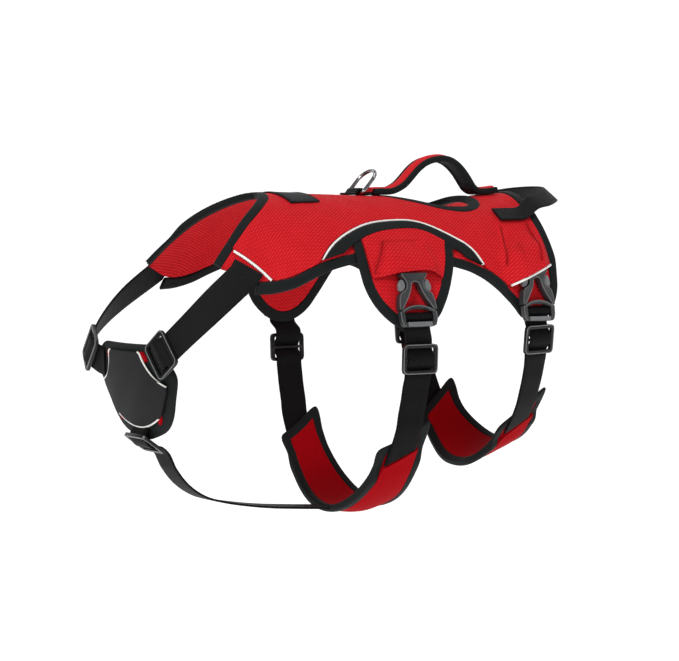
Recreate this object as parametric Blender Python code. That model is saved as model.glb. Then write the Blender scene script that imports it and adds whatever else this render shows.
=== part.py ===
"""Dog harness: a bound red saddle with a lifting handle, a chest pad and two belly girths.

The cloth keeps the hollow form that it has when worn. Every panel is laid out in two
coordinates on a plain barrel form: y along the spine and s round the section from the
spine, both in millimetres, with s positive on the left. A lift moves a point out from
the form along its normal. The form itself is not built.
"""
import math
from collections import namedtuple
from functools import lru_cache

import bmesh
import bpy
import numpy as np
from mathutils import Matrix, Vector

# Sizes are in millimetres. Blender gets metres.
MM = 0.001
GAP = 0.3

# The general form that the harness is cut for: medium size, 70 cm girth.
FormRow = namedtuple("FormRow", "y top middle bottom half_width")
FORM = [
    FormRow(-175, -27, -124.5, -222, 70),
    FormRow(-120, -1.5, -122, -240, 84),
    FormRow(-60, 1, -126, -247, 92),
    FormRow(0, 0, -129.5, -250, 95),
    FormRow(60, -1, -122.5, -237, 93),
    FormRow(120, 0, -109, -213, 86),
    FormRow(180, 6, -93, -193, 78),
    FormRow(230, 9, -84.5, -179, 74),
]
SHOULDER_FULLNESS = 0.10

# Cloth and trim
BASE_THICK = 2.0
SHELL_LIFT = 3.0
SHELL_THICK = 1.6
FLAP_LIFT = 3.1
FLAP_THICK = 1.4
HOOD_THICK = 1.3
BINDING = 8.0
BINDING_TOP = 5.2
BINDING_TOP_SINGLE = 2.6
FLAP_BINDING = 8.0
PIPING = 1.6
ARCH_SEAM = 1.05
WEBBING = 25.0
WEBBING_THICK = 1.6

# Outline of the finished saddle on the left, as (y, s), in stretches between corners
NECK_EDGE = [(-98, 0), (-104, 17), (-116, 31), (-133, 43), (-151, 53), (-166, 62)]
TIP_EDGE = [(-166, 62), (-142, 104)]
LOWER_FRONT = [
    (-142, 104), (-125, 112.5), (-114, 114), (-100.5, 111.5), (-86.5, 106.7), (-74, 102.5), (-59.5, 99.5),
    (-45, 97.5), (0, 96.5), (41, 102),
]
LOWER_REAR = [(41, 102), (52, 105), (60, 108), (71, 114.5), (83, 123.5), (93, 132), (104, 143)]
TAB_EDGE = [(104, 143), (134, 142)]
REAR_EDGE = [
    (134, 142), (143.5, 129), (147.3, 111), (147, 90), (147, 67), (148.5, 48), (152, 28),
    (155, 14), (156, 0),
]
EDGE_STEPS = {"neck": 9, "tip": 3, "lower_front": 11, "lower_rear": 10, "tab": 3, "rear": 12}

# The opening along the spine, under the handle
OPENING_EDGE = [
    (26, 0), (29, 9), (37, 18), (47, 26.5), (57, 34), (68, 36.6), (82, 36.6), (91, 33), (98, 25),
    (101.5, 13), (102, 0),
]
OPENING_STEPS = 12

# Lines across the outer layer
ARCH_TOP = [
    (-89, 102.5), (-81, 94), (-75.5, 88), (-67.5, 81.5), (-60, 77), (-44.6, 69.5), (-28.5, 63.5),
    (-13.4, 60.4), (1, 59), (14.6, 59.3), (26.4, 62.8), (37, 69), (47, 76), (57.6, 83.6),
    (63.3, 90.7), (66.5, 97), (71, 109),
]
ARCH_START, ARCH_END = -88, 71
ARCH_BINDING = 9.0
SHOULDER_LINE_FRONT, SHOULDER_LINE_LOW = 61.5, -126
REAR_LINE_START, REAR_LINE_END = 90, 101
REAR_LINE_SLOPE = 0.46
REAR_TENT = 9.2

# The flap that hangs from each arch and the hood on it
FLAP_LEFT = [(-50.5, 80), (-51.7, 99), (-50.9, 117), (-46, 130.4), (-38, 141), (-28, 149)]
FLAP_RIGHT = [(45, 80), (39, 99.6), (30.2, 119), (23.8, 131), (16.4, 142)]
FLAP_FOOT = [(-28, 149), (-17, 154), (-5, 154.5), (7, 150), (16.4, 142)]
HOOD_FOOT = [(-43, 113.5), (-31, 112.2), (-19, 111.3), (-6, 110.3), (8, 110.4), (21, 111.5), (30, 114)]
HOOD_TENT = 8.0
HOOD_MIDDLE = -7

# Buckles and sliders: place on the form and the girth webbing's way to the belly
GirthRow = namedtuple("GirthRow", "name buckle_y buckle_s buckle_lift slider_y slider_s slider_lift pad_y")
GIRTHS = [
    GirthRow("front", -8.5, 131.5, 5.6, -4.5, 176.5, 1.2, -6),
    GirthRow("rear", 117.5, 126.0, 3.4, 120, 161, 2.4, 124),
]
PadRow = namedtuple("PadRow", "name centre half_middle half_mouth mouth slant")
PADS = [
    PadRow("front", -5, 25, 20, 86, 0.62),
    PadRow("rear", 126, 25, 20, 58, 0.45),
]
PAD_LIP = 12.0
PAD_THICK = 5.0
PAD_LIP_THICK = 2.0
PAD_BINDING = 6.0
# Webbing shorter than this from buckle to slider goes straight across
ROOM_BETWEEN = 40.0
SLIDER_WIDTH, SLIDER_LENGTH = 33.0, 24.0
SLIDER_BAR = 3.0
BUCKLE_THICK = 5.6

# Lead ring on the spine and its webbing tab
RING_WIRE = 1.6
RING_HALF_WIDTH = 11.0
RING_HEIGHT = 24.5
RING_CORNER = 2.0
RING_REST_ANGLE = 48.0
RING_LIFT = 6.8
RING_TAB_WIDTH = 16.8

# Handle over the opening: y and z of its underside on the centre line
HANDLE_PATH = [
    (13.5, 4.9), (19, 5.25), (29, 5.4), (36, 6.8), (42, 9.6), (47, 12.6), (53, 18.3), (59, 24.2),
    (65, 28.6), (71, 31.3), (78, 32.8), (85, 33.2), (92, 31.6), (98, 28), (104, 22.5), (109.5, 15.5),
    (114, 9.8), (119, 6.6), (126, 5.95), (134, 6.5), (140, 7.3),
]
HANDLE_WIDTH = 19.0
HANDLE_EDGE = 3.8
HANDLE_UNDER = 1.8
HANDLE_TOP = 2.4

# Webbing loop behind the handle: centre of the band, and how far its outer edge dips
LoopRow = namedtuple("LoopRow", "x y z dip")
LOOP_WIDTH = 16.0
LOOP_LIFT = 6.4
LOOP_SEWN = [106, 119, 132]
LOOP_S = 52
LOOP_FREE = [
    LoopRow(50, 147, -1.2, 38), LoopRow(46.5, 160, 1.2, 38), LoopRow(40, 170.5, 3.8, 40),
    LoopRow(30, 180.5, 5.8, 42), LoopRow(16, 187, 7.0, 42), LoopRow(0, 189, 7.4, 42),
]

# Chest pad: a leaning sheet that bends back a little to each side
CHEST_TOP = Vector((0, -213.5, -110))
CHEST_DOWN = Vector((0, 0.24, -0.97)).normalized()
CHEST_OUT = Vector((0, -0.97, -0.24)).normalized()
CHEST_BEND = 0.0015
CHEST_BASE_THICK = 3.0
CHEST_COVER_LIFT = 3.5
CHEST_COVER_THICK = 1.8
CHEST_BASE = [
    (0, 0), (25, -1), (43, 3), (52, 12), (60, 22), (61.5, 28), (57, 38), (54, 43), (50, 52), (45.5, 60),
    (37, 69), (23, 76.5), (0, 78.5),
]
CHEST_COVER = [
    (0, 5), (14, 5), (25, 7), (29.5, 17), (38, 26.5), (51, 32.5), (50, 36.5), (43, 47), (37, 56), (30, 61),
    (14, 66), (0, 67.5),
]
MOUTH_MIDDLE = (40.3, 18.4)

# Webbing from the shoulder tip to the chest pad: centre points and outward directions
StrapRow = namedtuple("StrapRow", "x y z out_x out_y out_z")
SHOULDER_SEWN = [(-142.3, 82.6), (-151.5, 88.5)]
SHOULDER_FREE = [
    StrapRow(72.5, -167, -70, 0.80, -0.40, 0.45),
    StrapRow(74.5, -180.5, -82, 0.78, -0.55, 0.30),
    StrapRow(73.0, -196.5, -95.5, 0.42, -0.88, 0.20),
]
SHOULDER_SLIDER = StrapRow(58, -211.5, -117.5, 0.20, -0.97, 0.10)
SHOULDER_SLIDER_UP = Vector((0.72, 0.22, 0.66))
STERNUM_SLIDER = Vector((0, -196, -187))
STERNUM_DOWN = Vector((0, 0.816, -0.578))
STERNUM_PATH = [
    (-176, -211), (-165, -224), (-150, -234), (-132, -239.7), (-112, -243.6), (-90, -246.7), (-60, -249.4),
    (-33, -251.4),
]

# How webbing runs through a slider and through a buckle's plug: (along, out) of its middle
SLIDER_THREAD = [(-14.5, 0.8), (-8.6, 0.8), (-1.4, 5.4), (1.4, 5.4), (8.6, 0.8), (14.5, 0.8)]
PLUG_THREAD = [(10.6, 1.9), (12.0, 3.9), (14.4, 3.9), (17.2, -0.3), (23.6, -0.8)]

Finish = namedtuple("Finish", "colour roughness metallic")
FINISHES = {
    "red_cloth": Finish((0.56, 0.015, 0.02), 0.75, 0.0),
    "black_binding": Finish((0.012, 0.015, 0.016), 0.8, 0.0),
    "black_webbing": Finish((0.010, 0.011, 0.012), 0.7, 0.0),
    "charcoal_cloth": Finish((0.025, 0.025, 0.028), 0.65, 0.0),
    "reflective_piping": Finish((0.75, 0.76, 0.77), 0.35, 0.0),
    "grey_plastic": Finish((0.045, 0.048, 0.052), 0.38, 0.0),
    "black_plastic": Finish((0.012, 0.012, 0.013), 0.4, 0.0),
    "steel": Finish((0.62, 0.62, 0.64), 0.25, 1.0),
}


# ---- The form ----

def form_row(y):
    """Top, bottom and half width of the form at y, on a smooth curve through the rows."""
    ys = [row.y for row in FORM]
    y = min(max(y, ys[0]), ys[-1])
    i = min(max(int(np.searchsorted(ys, y)) - 1, 0), len(ys) - 2)
    span = ys[i + 1] - ys[i]
    t = (y - ys[i]) / span

    def slope(k):
        low, high = max(k - 1, 0), min(k + 1, len(ys) - 1)
        return (np.array(FORM[high][1:]) - np.array(FORM[low][1:])) / (ys[high] - ys[low])

    start, end = np.array(FORM[i][1:]), np.array(FORM[i + 1][1:])
    return (
        (2 * t**3 - 3 * t**2 + 1) * start
        + (t**3 - 2 * t**2 + t) * span * slope(i)
        + (3 * t**2 - 2 * t**3) * end
        + (t**3 - t**2) * span * slope(i + 1)
    )


def form_point(y, angle):
    """A point of the form: angle 0 is the spine, pi the belly, positive on the left."""
    top, middle, bottom, half = form_row(y)
    turn = math.cos(angle)
    x = half * math.sin(angle) * (1 + SHOULDER_FULLNESS * turn)
    return Vector((x, y, middle + turn * (top - middle if turn > 0 else middle - bottom)))


@lru_cache(maxsize=None)
def section_arc(y):
    """Angles and lengths round half of the section at y."""
    top, middle, bottom, half = form_row(y)
    angles = np.linspace(0, math.pi, 181)
    turn = np.cos(angles)
    x = half * np.sin(angles) * (1 + SHOULDER_FULLNESS * turn)
    z = np.where(turn > 0, top - middle, middle - bottom) * turn
    return angles, np.concatenate([[0], np.cumsum(np.hypot(np.diff(x), np.diff(z)))])


def frame_on_form(y, s, lift=0.0):
    """(place, across, down, out) at a point of the form; across is close to the y axis."""
    angles, arc = section_arc(round(y, 3))
    angle = math.copysign(float(np.interp(abs(s), arc, angles)), s)
    small = 0.01
    round_way = form_point(y, angle + small) - form_point(y, angle - small)
    along = form_point(y + 1, angle) - form_point(y - 1, angle)
    out = round_way.cross(along).normalized()
    down = math.copysign(1, s) * round_way.normalized()
    return form_point(y, angle) + out * lift, down.cross(out), down, out


def on_form(y, s, lift):
    return frame_on_form(y, s, lift)[0]


def under_form(y, t, lift):
    """A point near the belly: t is the distance from its middle line, positive on the left."""
    half_girth = section_arc(round(y, 3))[1][-1]
    return on_form(y, math.copysign(half_girth - abs(t), t), lift)


# ---- Lines in the plane of a panel ----

def resample(points, steps):
    """A smooth curve through the points, as steps + 1 points at even distances."""
    knots = [np.array(p, float) for p in points]
    knots = [2 * knots[0] - knots[1]] + knots + [2 * knots[-1] - knots[-2]]
    fine = []
    for a, b, c, d in zip(knots, knots[1:], knots[2:], knots[3:]):
        for t in np.linspace(0, 1, 12, endpoint=False):
            bend = (2 * a - 5 * b + 4 * c - d) * t**2 + (3 * b - a - 3 * c + d) * t**3
            fine.append(0.5 * (2 * b + (c - a) * t + bend))
    fine.append(knots[-2])
    fine = np.array(fine)
    lengths = np.concatenate([[0], np.cumsum(np.linalg.norm(np.diff(fine, axis=0), axis=1))])
    wanted = np.linspace(0, lengths[-1], steps + 1)
    return [tuple(float(np.interp(w, lengths, fine[:, k])) for k in range(fine.shape[1])) for w in wanted]


def offset(line, distance, closed=False):
    """The line moved to the right of its way by distance, with mitred corners."""
    moved = []
    count = len(line)
    for k, point in enumerate(line):
        before = line[(k - 1) % count] if closed or k else None
        after = line[(k + 1) % count] if closed or k < count - 1 else None
        ways = []
        for a, b in ((before, point), (point, after)):
            if a is not None and b is not None:
                way = np.array(b) - np.array(a)
                ways.append(way / np.linalg.norm(way))
        mean = sum(ways) / len(ways)
        mean = mean / np.linalg.norm(mean)
        mitre = max(0.6, abs(float(np.dot(mean, ways[0]))))
        right = np.array([mean[1], -mean[0]])
        moved.append(tuple(np.array(point) + right * distance / mitre))
    return moved


def cut(line, axis, value):
    """The two parts of a line that crosses a value of one coordinate."""
    for k in range(len(line) - 1):
        a, b = line[k], line[k + 1]
        if (a[axis] - value) * (b[axis] - value) <= 0 and a[axis] != b[axis]:
            t = (value - a[axis]) / (b[axis] - a[axis])
            point = tuple(p + (q - p) * t for p, q in zip(a, b))
            return line[: k + 1] + [point], [point] + line[k + 1:]
    raise ValueError("the line doesn't cross the value")


def refine(line, steps):
    """The same line with its longest pieces halved, until it has this many steps."""
    line = list(line)
    while len(line) - 1 < steps:
        lengths = [math.dist(a, b) for a, b in zip(line, line[1:])]
        k = lengths.index(max(lengths))
        middle = tuple((p + q) / 2 for p, q in zip(line[k], line[k + 1]))
        line.insert(k + 1, middle)
    return line


def above(line, limit, gap):
    """The part of a line of the panel that lies nearer to the spine than the limit line."""
    kept = []
    for a, b in zip(line, line[1:]):
        room_a, room_b = (height_at(limit, p[0]) - gap - p[1] for p in (a, b))
        if room_a > 0 and not kept:
            kept.append(a)
        if room_a * room_b < 0:
            t = room_a / (room_a - room_b)
            kept.append(tuple(p + (q - p) * t for p, q in zip(a, b)))
        if room_b > 0:
            kept.append(b)
    return kept


def reach(line, limit):
    """The line with both ends drawn on straight until they meet the limit line."""
    for _ in range(2):
        end, before = line[-1], line[-2]
        y, s = end
        for _ in range(20):
            room = height_at(limit, y) - s
            y += (end[0] - before[0]) / (end[1] - before[1]) * room / 2
            s += room / 2
        line = (line + [(y, s)])[::-1]
    return line


def height_at(line, y):
    ys, ss = zip(*line)
    return float(np.interp(y, ys, ss))


def mirrored(line):
    return [(y, -s) for y, s in line]


def smooth_step(value, start, end):
    t = min(max((value - start) / (end - start), 0.0), 1.0)
    return t * t * (3 - 2 * t)


def patch(left, right, top, bottom):
    """Quads between four lines. left and right run from top to bottom.

    The bend of the left and right lines fades quickly towards the middle.
    """
    rows, cols = len(left) - 1, len(top) - 1
    left, right, top, bottom = (np.array(line) for line in (left, right, top, bottom))
    down = np.linspace(0, 1, rows + 1)[:, None]
    left_bend = left - (1 - down) * left[0] - down * left[-1]
    right_bend = right - (1 - down) * right[0] - down * right[-1]
    grid = []
    for i in range(cols + 1):
        u = i / cols
        column = (1 - down) * top[i] + down * bottom[i] + (1 - u) ** 3 * left_bend + u**3 * right_bend
        grid.append([tuple(float(value) for value in point) for point in column])
    return [
        (grid[i][j], grid[i + 1][j], grid[i + 1][j + 1], grid[i][j + 1])
        for i in range(cols) for j in range(rows)
    ]


# ---- Solids ----

def new_object(name, mesh, finish):
    obj = bpy.data.objects.new(name, mesh)
    mesh.materials.append(materials[finish])
    harness.objects.link(obj)
    return obj


def mesh_of(name, points, faces):
    """A closed mesh in metres, with its faces turned out."""
    shape = bmesh.new()
    verts = [shape.verts.new(Vector(p) * MM) for p in points]
    for face in faces:
        shape.faces.new([verts[k] for k in face])
    bmesh.ops.recalc_face_normals(shape, faces=shape.faces)
    mesh = bpy.data.meshes.new(name)
    shape.to_mesh(mesh)
    shape.free()
    return mesh


def wall(name, finish, cells, low, high, place=on_form):
    """A wall over quads of (y, s), between two lifts, which may vary over the panel."""
    index = {}
    for cell in cells:
        for point in cell:
            index.setdefault((round(point[0], 3), round(point[1], 3)), len(index))
    count = len(index)
    flat = [[index[(round(p[0], 3), round(p[1], 3))] for p in cell] for cell in cells]
    points = [place(*p, low(*p) if callable(low) else low) for p in index]
    points += [place(*p, high(*p) if callable(high) else high) for p in index]
    faces, edges = [], {}
    for cell in flat:
        faces += [cell, [cell[k] + count for k in (0, 3, 2, 1)]]
        for a, b in zip(cell, cell[1:] + cell[:1]):
            edges.setdefault(frozenset((a, b)), []).append((a, b))
    for uses in edges.values():
        if len(uses) == 1:
            a, b = uses[0]
            faces.append([b, a, a + count, b + count])
    return new_object(name, mesh_of(name, points, faces), finish)


def loft(name, finish, sections, closed=False):
    """A solid through four-sided sections, capped or joined into a ring.

    The lower face (points 0 and 1) and the upper face (2 and 3) are split along matching diagonals.
    """
    size, count = len(sections[0]), len(sections)
    points = [p for section in sections for p in section]
    faces = []
    for k in range(count if closed else count - 1):
        a, b = k * size, ((k + 1) % count) * size
        faces += [[a + i, a + (i + 1) % size, b + (i + 1) % size, b + i] for i in range(size) if i != 2]
        faces.append([b + 2, a + 2, a + 3 % size, b + 3 % size])
    if not closed:
        faces += [list(range(size))[::-1], [(count - 1) * size + i for i in range(size)]]
    return new_object(name, mesh_of(name, points, faces), finish)


def strip(name, finish, outer, inner, low, high, closed=False, place=on_form):
    """A band between two lines of (y, s) with equal point counts."""
    sections = []
    for a, b in zip(outer, inner):
        top = high(*b) if callable(high) else high
        sections.append([place(*a, low), place(*b, low), place(*b, top), place(*a, top)])
    return loft(name, finish, sections, closed)


def ribbon(name, finish, path, width, thick, end_skew=0.0):
    """Webbing along (middle point, across) pairs, with mitred bends and maybe a slanted end."""
    sections = []
    count = len(path)
    for k, (point, across) in enumerate(path):
        outs = []
        for a, b in ((k - 1, k), (k, k + 1)):
            if a >= 0 and b < count:
                way = (path[b][0] - path[a][0]).normalized()
                outs.append(way.cross(across).normalized())
        out = sum(outs, Vector()).normalized()
        half = out * thick / 2 / max(0.75, out.dot(outs[0]))
        edge = across.normalized() * width / 2
        if k == count - 1:
            edge += way * end_skew * width / 2
        corners = (point - edge, point + edge)
        sections.append([corners[0] - half, corners[1] - half, corners[1] + half, corners[0] + half])
    return loft(name, finish, sections)


def rounded(corners, radius, steps=3):
    """A closed outline with each corner turned into a short arc."""
    outline = []
    for k, corner in enumerate(corners):
        before, here, after = (Vector(corners[(k + j) % len(corners)]) for j in (-1, 0, 1))
        reach = min(radius, (before - here).length / 2.2, (after - here).length / 2.2)
        start, end = here + (before - here).normalized() * reach, here + (after - here).normalized() * reach
        for step in range(steps + 1):
            t = step / steps
            outline.append(((1 - t) ** 2 * start + 2 * t * (1 - t) * here + t * t * end)[:2])
    return outline


def place_of(frame):
    """The matrix of a frame (place, across, down, out), in metres."""
    origin, across, down, out = frame
    return Matrix.Translation(origin * MM) @ Matrix((across, down, out)).transposed().to_4x4()


def plate(name, outlines, low, high):
    """A flat moulding: the first outline less the others, from low to high."""
    curve = bpy.data.curves.new(name, "CURVE")
    curve.dimensions = "2D"
    curve.fill_mode = "BOTH"
    curve.extrude = (high - low) / 2 * MM
    for outline in outlines:
        spline = curve.splines.new("POLY")
        spline.points.add(len(outline) - 1)
        for point, (u, v) in zip(spline.points, outline):
            point.co = (u * MM, v * MM, 0, 1)
        spline.use_cyclic_u = True
    guide = bpy.data.objects.new(name + "_outline", curve)
    cutters.objects.link(guide)
    bpy.context.view_layer.update()
    mesh = bpy.data.meshes.new_from_object(guide.evaluated_get(bpy.context.evaluated_depsgraph_get()))
    bpy.data.objects.remove(guide)
    shape = bmesh.new()
    shape.from_mesh(mesh)
    bmesh.ops.remove_doubles(shape, verts=shape.verts, dist=1e-6)
    bmesh.ops.translate(shape, verts=shape.verts, vec=(0, 0, (low + high) / 2 * MM))
    bmesh.ops.recalc_face_normals(shape, faces=shape.faces)
    shape.to_mesh(mesh)
    shape.free()
    return mesh


def with_bar(name, mesh, along, out, radius, half_length):
    """The moulding joined with a round bar across it."""
    base = bpy.data.objects.new(name + "_frame", mesh)
    shape = bmesh.new()
    turn = Matrix.Translation((0, along * MM, out * MM)) @ Matrix.Rotation(math.pi / 2, 4, "Y")
    bmesh.ops.create_cone(
        shape, cap_ends=True, segments=8, radius1=radius * MM, radius2=radius * MM,
        depth=2 * half_length * MM, matrix=turn,
    )
    bar_mesh = bpy.data.meshes.new(name + "_bar")
    shape.to_mesh(bar_mesh)
    shape.free()
    bar = bpy.data.objects.new(name + "_bar", bar_mesh)
    for helper in (base, bar):
        cutters.objects.link(helper)
    join = base.modifiers.new("join", "BOOLEAN")
    join.operation = "UNION"
    join.solver = "EXACT"
    join.object = bar
    bpy.context.view_layer.update()
    joined = bpy.data.meshes.new_from_object(base.evaluated_get(bpy.context.evaluated_depsgraph_get()))
    for helper in (base, bar):
        bpy.data.objects.remove(helper)
    return joined


# ---- The saddle's lines ----

def saddle_rim():
    """The finished outline on the left, in stretches between corners."""
    edges = {
        "neck": NECK_EDGE, "tip": TIP_EDGE, "lower_front": LOWER_FRONT, "lower_rear": LOWER_REAR,
        "tab": TAB_EDGE, "rear": REAR_EDGE,
    }
    rim = {name: resample(points, EDGE_STEPS[name]) for name, points in edges.items()}
    rim["lower"] = rim.pop("lower_front") + rim.pop("lower_rear")[1:] + rim["tab"][1:]
    return rim


def inset(rim, distance):
    """The stretches moved in. They stay square on the spine and meet on a mitre, but for the tip."""
    (y, s), (rear_y, rear_s) = rim["neck"][1], rim["rear"][-2]
    neck = offset([(y, -s)] + rim["neck"], distance)[1:]
    rest = offset(rim["lower"] + rim["rear"][1:] + [(rear_y, -rear_s)], distance)[:-1]
    corner = len(rim["lower"])
    moved = {"neck": neck, "lower": rest[:corner], "rear": rest[corner - 1:]}
    moved["tip"] = refine([neck[-1], rest[0]], EDGE_STEPS["tip"])
    return moved


def thickness_top(y, s):
    """Binding is thick where it holds both layers, and thin where the inner layer goes on alone."""
    s = abs(s)
    if s < SHOULDER_LINE_FRONT + 20:
        single = smooth_step(s, SHOULDER_LINE_FRONT - 10, SHOULDER_LINE_FRONT - 3) if y < 0 else 0.0
    elif y < 0:
        tip = 1 - smooth_step(y, SHOULDER_LINE_LOW - 4, SHOULDER_LINE_LOW + 2)
        single = tip + smooth_step(y, ARCH_START - 4, ARCH_START)
    elif y < REAR_LINE_START + 15:
        arch = 1 - smooth_step(y, ARCH_END, ARCH_END + 4)
        single = arch + smooth_step(y, REAR_LINE_START - 3, REAR_LINE_START + 3)
    else:
        single = smooth_step(s, REAR_LINE_END - 2, REAR_LINE_END + 4)
    return BINDING_TOP + (BINDING_TOP_SINGLE - BINDING_TOP) * single


def rear_tent(y, s):
    """The outer layer stands up over the rear buckle, along its rear edge."""
    line = REAR_LINE_END + (138 - y) * REAR_LINE_SLOPE
    along = smooth_step(y, 88, 100) * (1 - smooth_step(y, 134, 140))
    return REAR_TENT * along * smooth_step(abs(s) - line, -38, -20)


def shell_low(y, s):
    return SHELL_LIFT + rear_tent(y, s)


def shell_high(y, s):
    return shell_low(y, s) + SHELL_THICK


def hood_low(y, s):
    across = 1 - smooth_step(abs(y - HOOD_MIDDLE), 14, 30)
    return FLAP_LIFT + FLAP_THICK + 0.5 + HOOD_TENT * across * smooth_step(abs(s), 76, 108)


def hood_high(y, s):
    return hood_low(y, s) + HOOD_THICK


def both_halves(cells):
    return cells + [tuple(mirrored([cell[k] for k in (0, 3, 2, 1)])) for cell in cells]


# ---- Sub-parts ----

def make_saddle():
    """Both layers, the outer binding, the binding of the opening and the arch trims."""
    rim = saddle_rim()
    tape, edge = inset(rim, BINDING), inset(rim, BINDING + GAP)
    lower = edge["lower"]
    opening = resample(OPENING_EDGE, OPENING_STEPS)
    opening_loop = opening + mirrored(opening[1:-1])[::-1]
    opening_tape = offset(opening_loop, -BINDING, closed=True)
    opening_edge = offset(opening_loop, -BINDING - GAP, closed=True)[: len(opening)]
    rear_steps = 2

    def along_spine(columns, narrow):
        """The panels' inner side: the spine, round the opening, and the spine again.

        The first few columns are narrow where the panel fans out to its shoulder end.
        """
        start = edge["neck"][0][0]
        fan = (start + 2 * narrow + 1, 0.0)
        front = refine([(start, 0.0), fan], narrow)
        front = front[:-1] + refine([fan, opening_edge[0]], columns - OPENING_STEPS - rear_steps - narrow)
        rear = refine([opening_edge[-1], (edge["rear"][-1][0], 0.0)], rear_steps)
        return front + opening_edge[1:] + rear[1:]

    base_front = edge["neck"] + edge["tip"][1:]
    base = patch(base_front, edge["rear"][::-1], along_spine(len(lower) - 1, 1), lower)
    wall("saddle_base", "red_cloth", both_halves(base), 0.0, BASE_THICK)

    # The outer layer ends on the shoulder line, the arch and the rear line
    arch = above(resample(ARCH_TOP, 20), lower, 1.2)
    arch_edge = reach(offset(arch, PIPING / 2 + ARCH_SEAM), lower)
    neck_part = cut(edge["neck"], 1, SHOULDER_LINE_FRONT)[0]
    shoulder = [neck_part[-1], (SHOULDER_LINE_LOW, height_at(lower, SHOULDER_LINE_LOW))]
    rear_low = (REAR_LINE_START, height_at(lower, REAR_LINE_START))
    rear_part = cut(edge["rear"], 1, REAR_LINE_END)[1][::-1]
    rear_line = [rear_low, rear_part[-1]]
    lower_1 = cut(cut(lower, 0, SHOULDER_LINE_LOW)[1], 0, arch_edge[0][0])[0]
    lower_2 = cut(cut(lower, 0, arch_edge[-1][0])[1], 0, REAR_LINE_START)[0]
    shell_lower = lower_1[:-1] + arch_edge + lower_2[1:] + refine(rear_line, 5)[1:]
    rows = len(base_front) - 1
    shell_front = neck_part + refine(shoulder, rows + 1 - len(neck_part))[1:]
    shell_spine = along_spine(len(shell_lower) - 1, len(lower_1) - 1)
    shell = patch(shell_front, refine(rear_part, rows), shell_spine, shell_lower)
    wall("saddle_shell", "red_cloth", both_halves(shell), shell_low, shell_high)

    low = -0.3
    neck = shorten(rim["neck"], tape["neck"])
    strip("binding_neck", "black_binding", *across_spine(*neck), low, thickness_top)
    rear = shorten(rim["rear"][::-1], tape["rear"][::-1])
    strip("binding_rear", "black_binding", *across_spine(*rear), low, thickness_top)
    strip("binding_cutout", "black_binding", opening_loop, opening_tape, low, BINDING_TOP, closed=True)
    for side, turn in SIDES:
        outer, inner = turn(rim["lower"]), turn(tape["lower"])
        strip("binding_lower_" + side, "black_binding", outer, inner, low, thickness_top)
        trim_arch(side, turn, arch, lower)
        piping_line("piping_shoulder_" + side, turn, refine(shorten_both(shoulder, 2.0), 4))
        piping_line("piping_rear_" + side, turn, refine(shorten_both(rear_line, 2.0), 6))
    return arch


def shorten(outer, inner):
    """Both lines end a little before the corner, so that two bindings don't meet."""
    return [shorten_end(line, GAP * 1.5) for line in (outer, inner)]


def shorten_end(line, distance):
    last, before = Vector(line[-1]), Vector(line[-2])
    return line[:-1] + [tuple(last + (before - last).normalized() * distance)]


def shorten_both(line, distance):
    return shorten_end(shorten_end(line, distance)[::-1], distance)[::-1]


def across_spine(outer, inner):
    return [mirrored(line[1:])[::-1] + line for line in (outer, inner)]


def trim_arch(side, turn, arch, lower):
    """Piping and binding under the arched edge of the outer layer."""

    def inside(line):
        return [(y, min(s, height_at(lower, y) - 1.2)) for y, s in line]

    upper, under = offset(arch, PIPING / 2), inside(offset(arch, -PIPING / 2))
    low, high = SHELL_LIFT - 0.4, SHELL_LIFT + SHELL_THICK + 1.2
    strip("piping_arch_" + side, "reflective_piping", turn(upper), turn(under), low, high)
    near = inside(offset(arch, -PIPING / 2 - GAP))
    far = inside(offset(arch, -PIPING / 2 - GAP - ARCH_BINDING))
    strip("binding_arch_" + side, "black_binding", turn(near), turn(far), low, BINDING_TOP + 0.6)


def piping_line(name, turn, line):
    """Piping in front of an end of the outer layer, just beyond it."""
    near, far = offset(line, -GAP), offset(line, -GAP - PIPING)
    sections = []
    for a, b in zip(turn(near), turn(far)):
        low, high = shell_low(*a) - 0.5, shell_high(*a)
        sections.append([on_form(*a, low), on_form(*b, low), on_form(*b, high), on_form(*a, high)])
    loft(name, "reflective_piping", sections)


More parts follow.
